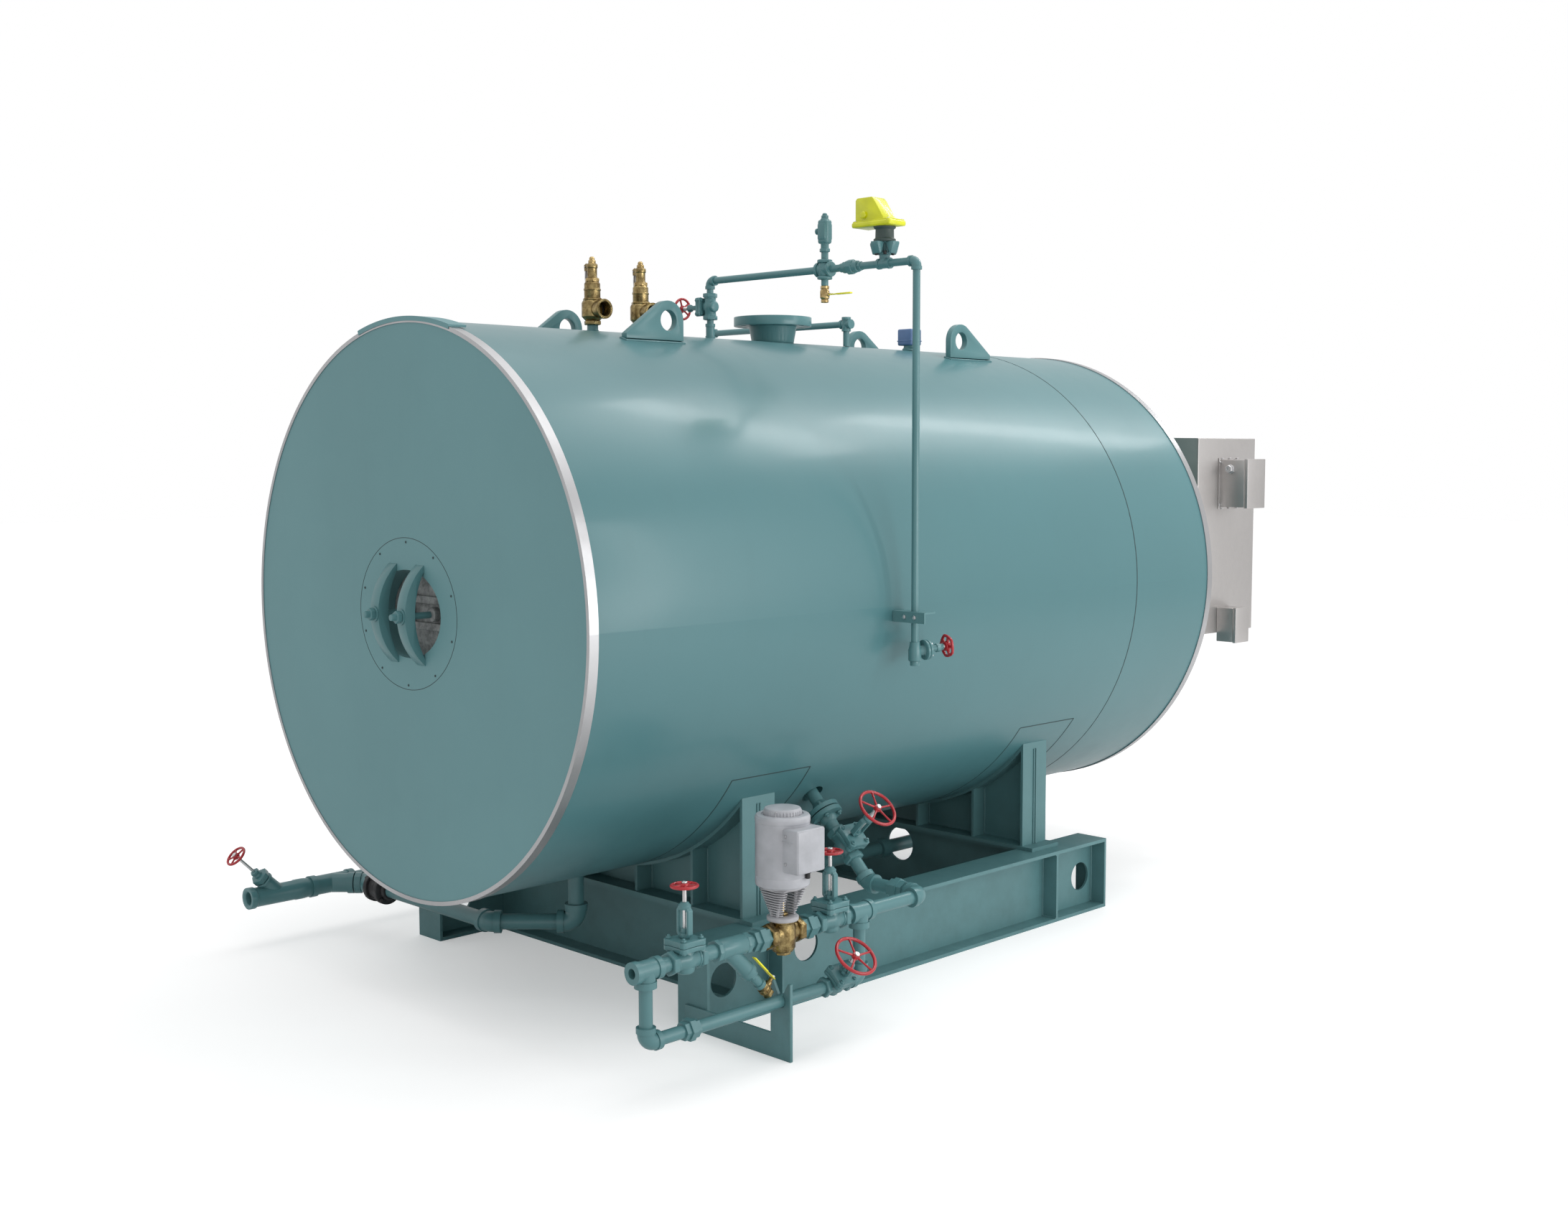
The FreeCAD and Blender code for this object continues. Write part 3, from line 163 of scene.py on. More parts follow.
def steelPaint(name, tone, rough=0.36, mottle=0.08, peel=0.12, dust=0.10, lowShadeAndDirt=0.25, coat=0.0):
    # sprayed enamel over steel: slow tone changes, orange peel, dust on top, and painted shade mixed with
    # dirt that darkens it towards the floor
    paint = Paint(name)
    drift = paint.cloud(1.4, 4).above(0.3, 0.7)
    smudge = paint.cloud(9, 6, rough=0.65).above(0.42, 0.78)
    speck = paint.cloud(160, 2).above(0.60, 0.74)
    runs = paint.cloud(14, 3, (1, 1, 0.12)).above(0.55, 0.85)
    colour = paint.mix(drift, tinted(tone, 1 - mottle), tinted(tone, 1 + mottle))
    # painted shade and dirt together: the colour darkens towards the floor
    lowShadeAndDirtMask = (1 - paint.height().above(0.05, 0.9)) * (0.35 + smudge) * lowShadeAndDirt
    colour = paint.mix(lowShadeAndDirtMask, colour, tinted(tone, 0.42))
    colour = paint.mix(runs * 0.10, colour, tinted(tone, 0.75))
    settled = paint.facingUp().above(0.6, 1.0) * (0.4 + smudge) * dust
    colour = paint.mix(settled, colour, (0.42, 0.45, 0.43))
    colour = paint.mix(speck * 0.06, colour, tinted(tone, 1.6))
    skin = paint.bump(paint.cloud(260, 2), peel, 0.0006)
    dull = rough + smudge * mottle - drift * mottle * 0.5
    return paint.finish({"Base Color": colour, "Roughness": dull, "Normal": skin, "Metallic": 0.0,
                         "Coat Weight": coat, "Coat Roughness": 0.12, "Specular IOR Level": 0.5})


def castMetal(name, tone, deep, rough=0.34, grain=0.35, metallic=1.0, size=340):
    # sand cast metal, dark in its hollows and brighter where hands rub it
    paint = Paint(name)
    pits = paint.cloud(size, 3)
    blotch = paint.cloud(38, 5, rough=0.7).above(0.36, 0.72)
    colour = paint.mix(blotch, deep, tone)
    colour = paint.mix(paint.cloud(11, 3).above(0.55, 0.8) * 0.4, colour, tinted(tone, 1.25))
    skin = paint.bump(pits + 0.3 * paint.cloud(90, 3), grain, 0.0007)
    return paint.finish({"Base Color": colour, "Roughness": rough + (1 - blotch) * 0.18,
                         "Metallic": metallic, "Normal": skin})


def drawnSteel(name, tone, rough=0.28, grainWay=(90, 90, 1), smear=0.25):
    # brushed or rolled sheet: fine lines one way, with smudges from handling
    paint = Paint(name)
    lines = paint.cloud(9, 4, grainWay, 0.7)
    smudge = paint.cloud(3.2, 5, rough=0.65).above(0.36, 0.72)
    streak = paint.cloud(5, 2, (1, 1, 0.15)).above(0.45, 0.8)
    colour = paint.mix(smudge * smear, tone, tinted(tone, 0.68))
    colour = paint.mix(lines.above(0.35, 0.7) * 0.22, colour, tinted(tone, 1.18))
    colour = paint.mix(streak * 0.12, colour, tinted(tone, 0.8))
    skin = paint.bump(lines, 0.10, 0.0004)
    return paint.finish({"Base Color": colour, "Roughness": rough + smudge * 0.16 + lines * 0.06,
                         "Metallic": 1.0, "Normal": skin})


def gloss(name, tone, worn, rough=0.2, wear=0.12, grain=0.08, coat=0.3):
    # thick gloss coat on small fittings, dulled and scuffed where it is touched
    paint = Paint(name)
    scuff = paint.cloud(60, 6, rough=0.75).above(0.60, 0.74)
    drift = paint.cloud(16, 3).above(0.3, 0.7)
    colour = paint.mix(drift, tinted(tone, 0.86), tinted(tone, 1.08))
    colour = paint.mix(scuff * wear, colour, worn)
    skin = paint.bump(paint.cloud(420, 2), grain, 0.0004)
    return paint.finish({"Base Color": colour, "Roughness": rough + scuff * 0.25 + drift * 0.06,
                         "Normal": skin, "Coat Weight": coat, "Coat Roughness": 0.08})


paints = {
    # the jacket's strong darkening towards the floor is painted shade on its underside
    "jacket": steelPaint("jacketTeal", (0.066, 0.180, 0.196), rough=0.33, mottle=0.03, peel=0.05, dust=0.0,
                         lowShadeAndDirt=0.40, coat=0.12),
    "end": steelPaint("endPlateTeal", (0.122, 0.268, 0.286), rough=0.52, mottle=0.04, peel=0.05, dust=0.0,
                      lowShadeAndDirt=0.05),
    "frame": steelPaint("skidTeal", (0.092, 0.212, 0.224), rough=0.42, peel=0.16, dust=0.0, lowShadeAndDirt=0.30),
    "pipe": steelPaint("pipeTeal", (0.082, 0.205, 0.218), rough=0.32, mottle=0.10, peel=0.22, dust=0.02,
                       lowShadeAndDirt=0.20),
    "seam": steelPaint("seamTeal", (0.026, 0.052, 0.055), rough=0.55, mottle=0.06, peel=0.05, dust=0.0,
                       lowShadeAndDirt=0.1),
    # very dark teal: teal paint darkened as painted shade, for the cabinet neck in shadow and the level
    # control neck under its cover
    "neck": steelPaint("shadedNeckTeal", (0.035, 0.060, 0.056), rough=0.45, mottle=0.10, peel=0.16, dust=0.08,
                       lowShadeAndDirt=0.1),
    "trim": drawnSteel("trimSteel", (0.50, 0.50, 0.51), rough=0.24, grainWay=(60, 60, 60), smear=0.45),
    "sheet": drawnSteel("cabinetSheet", (0.56, 0.54, 0.53), rough=0.34, smear=0.45),
    "zinc": drawnSteel("zincPlate", (0.62, 0.62, 0.63), rough=0.30, grainWay=(40, 40, 40)),
    "stem": drawnSteel("stemSteel", (0.74, 0.74, 0.74), rough=0.20, grainWay=(200, 200, 20), smear=0.15),
    "grey": drawnSteel("leverGrey", (0.46, 0.46, 0.48), rough=0.30, grainWay=(80, 80, 80), smear=0.3),
    "primer": castMetal("primedCover", (0.40, 0.42, 0.42), (0.17, 0.18, 0.18), rough=0.5, grain=0.3,
                        metallic=0.35),
    "bronze": castMetal("castBronze", (0.48, 0.37, 0.17), (0.12, 0.080, 0.032), rough=0.20, grain=0.40),
    "brass": castMetal("turnedBrass", (0.66, 0.50, 0.24), (0.30, 0.21, 0.09), rough=0.18, grain=0.15),
    "iron": castMetal("blackIron", (0.030, 0.032, 0.034), (0.012, 0.012, 0.013), rough=0.45, grain=0.5,
                      metallic=0.0, size=220),
    # near-black discs set deep in bores and mouths: painted shade where the inside falls into shadow
    "hole": castMetal("paintedShadeDisc", (0.020, 0.018, 0.016), (0.008, 0.008, 0.008), rough=0.8, grain=0.3,
                      metallic=0.0, size=120),
    "red": gloss("wheelRed", (0.40, 0.008, 0.016), (0.16, 0.03, 0.03), rough=0.26, wear=0.25, grain=0.15),
    "yellow": gloss("leverYellow", (0.86, 0.80, 0.02), (0.55, 0.50, 0.10), rough=0.34, wear=0.15, grain=0.2,
                    coat=0.1),
    "lime": gloss("coverYellow", (0.66, 0.68, 0.006), (0.40, 0.42, 0.05), rough=0.28, wear=0.10, grain=0.25),
    "white": gloss("actuatorWhite", (0.40, 0.41, 0.44), (0.26, 0.26, 0.27), rough=0.36, grain=0.10, coat=0.1),
    "cast": gloss("yokeWhite", (0.42, 0.42, 0.44), (0.24, 0.24, 0.25), rough=0.42, wear=0.2, grain=0.45,
                  coat=0.05),
    "blue": gloss("switchBlue", (0.085, 0.16, 0.32), (0.05, 0.09, 0.16), rough=0.36, wear=0.15, grain=0.2,
                  coat=0.1),
}
print("finishes made,", len(paints))


# tools for the pieces

def deselect():
    if bpy.context.object and bpy.context.object.mode != "OBJECT":
        bpy.ops.object.mode_set(mode="OBJECT")
    bpy.ops.object.select_all(action="DESELECT")


def choose(piece):
    deselect()
    piece.select_set(True)
    bpy.context.view_layer.objects.active = piece


def settle(piece, spot, turn=None):
    # puts a piece's place and turn in its mesh
    piece.data.transform(Matrix.Translation(spot) @ (turn or Matrix.Identity(4)))
    piece.data.update()
    return piece


def towards(way):
    return Vector(way).to_track_quat("Z", "Y").to_matrix().to_4x4()


onEdge = Matrix.Rotation(math.radians(90), 4, "X")      # stands a flat plate up, facing front


def frameTurn(pipeWay, stemWay):
    second, third = Vector(pipeWay).normalized(), Vector(stemWay).normalized()
    return Matrix((second.cross(third), second, third)).transposed().to_4x4()


def openEdit():
    bpy.ops.object.mode_set(mode="EDIT")
    bpy.ops.mesh.select_all(action="SELECT")


def closeEdit():
    # all faces outwards, then back to the whole piece
    bpy.ops.mesh.select_all(action="SELECT")
    bpy.ops.mesh.normals_make_consistent(inside=False)
    bpy.ops.object.mode_set(mode="OBJECT")


def pull(height):
    bpy.ops.mesh.extrude_region_move(TRANSFORM_OT_translate={"value": (0, 0, height * mm)})


def roundOutline(points):
    # a flat face with the points of a circle moved to an outline
    deselect()
    bpy.ops.mesh.primitive_circle_add(vertices=len(points), radius=1, fill_type="NGON")
    piece = bpy.context.object
    for corner, point in zip(piece.data.vertices, points):
        corner.co = Vector(point) * mm
    openEdit()
    return piece


def coat(piece, paint, angle=34):
    piece.data.materials.clear()
    piece.data.materials.append(paints[paint])
    choose(piece)
    bpy.ops.object.shade_smooth_by_angle(angle=math.radians(angle))
    return piece


def roundEdges(piece, width, segments=2, angle=34):
    choose(piece)
    rounding = piece.modifiers.new("edges", "BEVEL")
    rounding.width = width * mm
    rounding.segments = segments
    rounding.limit_method = "ANGLE"
    rounding.angle_limit = math.radians(angle)
    bpy.ops.object.modifier_apply(modifier="edges")
    return piece


def turned(profile, spot=(0, 0, 0), way=up, paint="pipe", sides=32, edge=0.8):
    # a stepped round or six sided body drawn out of a circle, step by step
    deselect()
    radius, height = profile[0]
    bpy.ops.mesh.primitive_circle_add(vertices=sides, radius=radius * mm, fill_type="NGON")
    piece = bpy.context.object
    openEdit()
    bpy.ops.transform.translate(value=(0, 0, height * mm))
    for nextRadius, nextHeight in profile[1:]:
        pull(nextHeight - height)
        scale = nextRadius / radius
        bpy.ops.transform.resize(value=(scale, scale, 1), center_override=(0, 0, 0))
        radius, height = nextRadius, nextHeight
    closeEdit()
    if edge:
        roundEdges(piece, edge)
    settle(piece, Vector(spot), towards(way))
    return coat(piece, paint)


def hexNut(radius, low, high, spot=(0, 0, 0), way=up, paint="pipe", hole=0.0):
    # chamfered corners like a turned nut
    chamfer = (high - low) * 0.12
    profile = [(radius * 0.88, low), (radius, low + chamfer), (radius, high - chamfer), (radius * 0.88, high)]
    if hole:
        profile += [(hole, high), (hole, high - chamfer)]
    return turned(profile, spot, way, paint, 6, 0.5)


def block(size, spot, paint="pipe", edge=2.0, turn=None, segments=2):
    deselect()
    bpy.ops.mesh.primitive_cube_add(size=1, scale=[part * mm for part in size])
    piece = bpy.context.object
    bpy.ops.object.transform_apply(location=False, rotation=False, scale=True)
    openEdit()
    bpy.ops.mesh.bevel(offset=edge * mm, segments=segments, affect="EDGES")
    bpy.ops.object.mode_set(mode="OBJECT")
    settle(piece, Vector(spot), turn)
    return coat(piece, paint)


def plate(outline, thickness, spot=(0, 0, 0), turn=None, paint="pipe", edge=1.0):
    # a flat plate in the local XY plane
    piece = roundOutline([(x, y, -thickness / 2) for x, y in outline])
    pull(thickness)
    closeEdit()
    if edge:
        roundEdges(piece, edge)
    settle(piece, Vector(spot), turn)
    return coat(piece, paint)


def band(section, sweep, startAngle, spot, turn, paint, steps=96):
    # a strip spun round the local Z axis from a (radius, height) section
    piece = roundOutline([(radius, 0, height) for radius, height in section])
    bpy.ops.mesh.spin(steps=steps, angle=-math.radians(sweep), center=(0, 0, 0), axis=(0, 0, 1))
    bpy.ops.mesh.select_all(action="SELECT")
    bpy.ops.mesh.remove_doubles(threshold=0.00002)
    if sweep == 360:
        bpy.ops.mesh.select_all(action="DESELECT")
        bpy.ops.mesh.select_interior_faces()
        bpy.ops.mesh.delete(type="FACE")
    closeEdit()
    settle(piece, Vector((0, 0, 0)), Matrix.Rotation(math.radians(startAngle), 4, "Z"))
    settle(piece, Vector(spot), turn)
    return coat(piece, paint)


def ring(radius, thickness, spot=(0, 0, 0), way=up, paint="pipe", sides=48, section=12):
    deselect()
    bpy.ops.mesh.primitive_torus_add(major_radius=radius * mm, minor_radius=thickness * mm,
                                     major_segments=sides, minor_segments=section)
    piece = bpy.context.object
    settle(piece, Vector(spot), towards(way))
    return coat(piece, paint, 60)


def bead(points, radius, paint="frame", closed=False):
    # a weld run or a bent rod laid along points
    deselect()
    line = bpy.data.curves.new("bead", "CURVE")
    line.dimensions = "3D"
    spline = line.splines.new("POLY")
    spline.points.add(len(points) - 1)
    for place, point in zip(spline.points, points):
        place.co = (*point, 1)
    spline.use_cyclic_u = closed
    line.bevel_depth = radius * mm
    line.bevel_resolution = 3
    line.use_fill_caps = True
    piece = bpy.data.objects.new("bead", line)
    bpy.context.scene.collection.objects.link(piece)
    choose(piece)
    bpy.ops.object.convert(target="MESH")
    return coat(bpy.context.object, paint, 60)


def joined(name, parts):
    deselect()
    for part in parts:
        part.select_set(True)
    bpy.context.view_layer.objects.active = parts[0]
    if len(parts) > 1:
        bpy.ops.object.join()
    whole = parts[0]
    whole.name = name
    whole.data.name = name
    return whole


def copied(piece, name, spot):
    twin = bpy.data.objects.new(name, piece.data.copy())
    bpy.context.scene.collection.objects.link(twin)
    return settle(twin, spot)


def fit(piece, body, slot, *nodes):
    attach(piece, body)
    if nodes:
        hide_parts(*nodes)
    return piece


def softened(node, name, slot, paint, width=2.0):
    # the same plates with rolled edges in place of knife edges
    piece = bpy.data.objects.new(name, plant[node].data.copy())
    bpy.context.scene.collection.objects.link(piece)
    choose(piece)
    openEdit()
    bpy.ops.mesh.remove_doubles(threshold=0.00002)
    bpy.ops.mesh.dissolve_limited(angle_limit=math.radians(0.6))
    bpy.ops.object.mode_set(mode="OBJECT")
    roundEdges(piece, width, 2, 40)
    coat(piece, paint)
    return fit(piece, "boiler", slot, node)


def dress(node, paint):
    piece = plant[node]
    piece.data.materials.clear()
    piece.data.materials.append(paints[paint])


camera = {"spot": (5186.0, -3301.7, 1961.8), "pitch": 85.13, "yaw": 44.23, "lens": 40.18,
          "shift": (-0.0222, -0.0027)}
view = bpy.data.objects.new("viewpoint", bpy.data.cameras.new("viewpoint"))
bpy.context.scene.collection.objects.link(view)
view.location = at(*camera["spot"])
view.rotation_euler = (math.radians(camera["pitch"]), 0, math.radians(camera["yaw"]))
view.data.lens = camera["lens"]
view.data.sensor_width = 36
view.data.shift_x, view.data.shift_y = camera["shift"]
view.data.clip_end = 100
bpy.context.scene.camera = view

# every carried over node gets its finish
finishes = {
    "jacket": ["vessel_shell"],
    "end": ["front_plate", "rear_plate"],
    "trim": ["trim_rings"],
    "frame": ["manway_frame", "left_skid_beam", "right_skid_beam", "cross_beams", "front_saddle_support",
              "rear_saddle_support", "pipe_brackets", "lifting_lugs", "steam_nozzle", "manway_yokes",
              "riser_bracket"],
    "primer": ["manway_cover"],
    "pipe": ["top_gate_valve", "top_line", "air_vent", "level_control", "riser_pipe", "drain_valve",
             "level_line", "inlet_gate_valve", "outlet_gate_valve", "bypass_valve_body", "feed_run",
             "bypass_run", "strainer", "feed_line", "feed_stop_valve", "blowdown_line", "blowdown_valve"],
    # the cabinet neck gets the near-black teal as painted shade
    "neck": ["cabinet_neck"],
    "sheet": ["control_cabinet", "junction_boxes"],
    "bronze": ["front_safety_valve", "rear_safety_valve", "control_valve", "strainer_cock"],
    "brass": ["test_cock"],
    "grey": ["front_safety_valve_lever", "rear_safety_valve_lever"],
    "yellow": ["test_cock_lever", "strainer_cock_lever"],
    "lime": ["level_control_cover"],
    "white": ["control_actuator"],
    "cast": ["control_yoke"],
    "blue": ["limit_switch"],
    "iron": ["blowdown_check"],
    "red": ["top_gate_wheel", "inlet_wheel", "outlet_wheel", "bypass_wheel", "feed_stop_wheel",
            "blowdown_wheel", "drain_wheel"],
}
for paint, names in finishes.items():
    for name in names:
        dress(name, paint)
print("camera and finishes placed")


# seams, front flap and the oval round the manway

jacket = {"seamWidth": 4.5, "seamProud": 0.7, "seamSunk": 0.5, "rearSeam": 2930, "frontPatch": (756, 1141),
          "rearPatch": (2369, 2738), "patchTop": 836}
axisTurn = towards(back)      # local Z along the vessel, so local angles run round it


def angleOf(x, z):
    # angle round the vessel in the spun strip's own frame
    spot = axisTurn.inverted() @ Vector((x, 0, z - axisZ))
    return math.degrees(math.atan2(spot.y, spot.x))


def shellTop(x):
    return axisZ + math.sqrt(vessel["radius"] ** 2 - x ** 2)


def shortWay(start, end):
    # the order of two angles that spans less than half a turn
    return (start, end) if (end - start) % 360 < 180 else (end, start)


def seamArc(y, start, end, steps):
    inner, outer = vessel["radius"] - jacket["seamSunk"], vessel["radius"] + jacket["seamProud"]
    near, far = y - jacket["seamWidth"] / 2, y + jacket["seamWidth"] / 2
    section = [(inner, near), (outer, near), (outer, far), (inner, far)]
    return band(section, (end - start) % 360 or 360, start, at(0, 0, axisZ), axisTurn, "seam", steps)


def seamLine(x, z, near, far):
    way = Vector((x, 0, z - axisZ)).normalized()
    spot = at(0, (near + far) / 2, axisZ) + way * vessel["radius"] * mm
    size = (jacket["seamWidth"], far - near, 2 * jacket["seamProud"])
    return block(size, spot, "seam", 0.2, frameTurn(back, way), 1)


seams = [seamArc(jacket["rearSeam"], 0, 360, 128)]
patchX = math.sqrt(vessel["radius"] ** 2 - (jacket["patchTop"] - axisZ) ** 2)
first, last = shortWay(angleOf(patchX, jacket["patchTop"]), angleOf(-patchX, jacket["patchTop"]))
for near, far in (jacket["frontPatch"], jacket["rearPatch"]):
    seams += [seamArc(y, first, last, 72) for y in (near, far)]
    seams += [seamLine(x, jacket["patchTop"], near, far) for x in (patchX, -patchX)]
fit(joined("jacketSeams", seams), "boiler", "jacket_paint")

flap = {"from": -268, "to": 284, "depth": 64, "face": -5, "faceInside": -3.6, "inner": 996, "outer": 1012,
        "underside": 1004.6}
first, last = shortWay(*[angleOf(x, shellTop(x)) for x in (flap["from"], flap["to"])])
section = [(flap["inner"], flap["face"]), (flap["outer"], flap["face"]), (flap["outer"], flap["depth"]),
           (flap["underside"], flap["depth"]), (flap["underside"], flap["faceInside"]),
           (flap["inner"], flap["faceInside"])]
strip = band(section, (last - first) % 360, first, at(0, 0, axisZ), axisTurn, "end", 40)
fit(joined("frontFlap", [strip]), "boiler", "jacket_paint")

oval = {"width": 298, "height": 262, "half": 0.9, "sunk": 0.6, "proud": 0.3, "screws": 10,
        "screwWidth": 280, "screwHeight": 247}
faceCentre = at(0, 0, axisZ)
inner, outer = oval["height"] - oval["half"], oval["height"] + oval["half"]
section = [(inner, -oval["sunk"]), (outer, -oval["sunk"]), (outer, oval["proud"]), (inner, oval["proud"])]
surround = band(section, 360, 0, (0, 0, 0), axisTurn, "seam", 96)
settle(surround, faceCentre, Matrix.Diagonal((oval["width"] / oval["height"], 1, 1, 1)))
discParts = [surround]
screw = [(4.5, -0.2), (4.2, 1.2), (3.0, 2.2), (1.2, 2.2), (1.0, 1.2)]
for way in around(oval["screws"], 0.5):
    spot = faceCentre + offset(oval["screwWidth"] * way.x, 0, oval["screwHeight"] * way.y)
    discParts.append(turned(screw, spot, front, "seam", 12, 0))
fit(joined("manwaySurround", discParts), "boiler", "jacket_paint")
print("jacket seams, flap and manway surround")


# plates with softened edges, then the weld runs

for node, slot, paint, width in (("lifting_lugs", "jacket_paint", "pipe", 2.5),
                                 ("steam_nozzle", "jacket_paint", "pipe", 2.0),
                                 ("manway_yokes", "frame_paint", "pipe", 3.0),
                                 ("pipe_brackets", "frame_paint", "frame", 1.5)):
    softened(node, node + "Rounded", slot, paint, width)

lugs = {"offset": 298, "gauge": 28, "inset": 725, "length": 269.5, "gap": 2, "bead": 5}
runs = []
for foot in (lugs["inset"], vessel["length"] - lugs["inset"] - lugs["length"]):
    for side in (-1, 1):
        corners = []
        for x, y in ((-1, 0), (1, 0), (1, 1), (-1, 1)):
            beside = side * lugs["offset"] + x * (lugs["gauge"] / 2 + lugs["gap"])
            endY = foot + y * lugs["length"] + (2 * y - 1) * lugs["gap"]
            corners.append(at(beside, endY, shellTop(beside) + 1))
        runs.append(bead(corners, lugs["bead"], "jacket", True))
fit(joined("lugWelds", runs), "boiler", "jacket_paint")

skid = {"offset": 800, "start": 585, "length": 2325, "depth": 300, "half": 75, "flange": 14, "web": 5,
        "saddles": (948, 2560), "stiffener": 7, "endPlate": 13, "bead": 4}
low, high = skid["flange"] + 1, skid["depth"] - skid["flange"] - 1
runs = []
for side in (-1, 1):
    inner, outer = side * (skid["offset"] + skid["web"]), side * (skid["offset"] + skid["half"])
    for y in skid["saddles"]:
        for step in (-skid["stiffener"], skid["stiffener"]):
            corners = ((outer, low), (inner, low), (inner, high), (outer, high))
            runs.append(bead([at(x, y + step, z) for x, z in corners], skid["bead"]))
    inner += side      # the end plates' welds stand a little further out
    for y in (skid["start"] + skid["endPlate"], skid["start"] + skid["length"] - skid["endPlate"]):
        runs.append(bead([at(inner, y, low + 1), at(inner, y, high - 1)], skid["bead"]))
fit(joined("skidWelds", runs), "boiler", "frame_paint")

ribs = {"stations": (-744, -480, -165, 165, 480, 744), "half": 8, "saddle": 7, "foot": 316, "skin": 1012,
        "bead": 3.5}
runs = []
for y in skid["saddles"]:
    for x in ribs["stations"]:
        rise = axisZ - math.sqrt(ribs["skin"] ** 2 - x ** 2)
        for edgeX in (x - ribs["half"], x + ribs["half"]):
            for face in (y + ribs["saddle"], y - ribs["saddle"]):
                runs.append(bead([at(edgeX, face, ribs["foot"]), at(edgeX, face, rise - 4)], ribs["bead"]))
fit(joined("saddleWelds", runs), "boiler", "frame_paint")
print("welds laid")


# manway cover with its studs, nuts and lift bars

manway = {"spacing": 165, "cover": (223, 172), "gauge": 18, "sits": 98, "bar": (300, 12, 26), "barRise": 46,
          "barAt": (40, 68)}
parts = []
for side in (-1, 1):
    spot = at(side * manway["spacing"] / 2, 0, axisZ)
    parts += [turned([(12, -60), (12, 112), (10.5, 118)], spot, front, "pipe", 24),
              turned([(27, 78.3), (27, 82)], spot, front, "pipe", 32),
              hexNut(22, 82, 101, spot, front, "pipe"),
              turned([(26, -64), (26, -40), (13, -36)], spot, front, "primer", 24)]
deselect()
bpy.ops.mesh.primitive_circle_add(vertices=72, radius=1, fill_type="NGON")
cover = bpy.context.object
openEdit()
coverWidth, coverHeight = manway["cover"]
bpy.ops.transform.resize(value=(coverWidth * mm, coverHeight * mm, 1), center_override=(0, 0, 0))
pull(manway["gauge"])
bpy.ops.mesh.inset(thickness=0.05, depth=-0.004)
bpy.ops.mesh.inset(thickness=0.03, depth=0.007)
closeEdit()
roundEdges(cover, 2)
settle(cover, at(0, manway["sits"], axisZ), frameTurn(up, front))
coat(cover, "primer")
parts.append(cover)
for rise in (-manway["barRise"], manway["barRise"]):
    parts.append(block(manway["bar"], at(*manway["barAt"], axisZ + rise), "primer", 3))
fit(joined("manwayCover", parts), "boiler", "manway_steel", "manway_cover")
print("manway cover and studs")


# handwheels, built flat about the hub

wheel = {"stem": 7, "boss": 7.5, "spokes": 5}
bypassWay = (math.sin(math.radians(40)), 0, math.cos(math.radians(40)))
wheels = {
    "top_gate_wheel": ("topGateWheel", 45, 5, left),
    "inlet_wheel": ("inletWheel", 45, 5, up),
    "outlet_wheel": ("outletWheel", 45, 5, up),
    "bypass_wheel": ("bypassWheel", 78, 6, bypassWay),
    "feed_stop_wheel": ("feedStopWheel", 78, 6, (1, 0, 1)),
    "blowdown_wheel": ("blowdownWheel", 45, 5, (0, -1, 1)),
}


def handwheel(radius, thick):
    stem, boss = wheel["stem"], wheel["boss"]
    hub = [(stem + 0.6, -boss), (stem + 6, -boss), (stem + 7, -boss * 0.4), (stem + 7, boss * 0.4),
           (stem + 5, boss), (stem + 0.6, boss)]
    parts = [ring(radius - thick, thick, paint="red", sides=60), turned(hub, paint="red", sides=28)]
    for way in around(wheel["spokes"]):
        spoke = [(4.6, stem + 3), (3.4, radius * 0.5), (4.2, radius - thick)]
        parts.append(turned(spoke, way=way, paint="red", sides=14))
    parts.append(hexNut(stem + 2.4, boss, boss + 6, paint="stem", hole=stem * 0.6))
    return parts


for node, (name, radius, thick, way) in wheels.items():
    whole = joined(name, handwheel(radius, thick))
    low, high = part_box(node)
    settle(whole, (low + high) / 2, towards(way))
    fit(whole, node, "wheel_red", node)
print("handwheels")


# gate valves, built upright about the port, every size a share of the port's radius

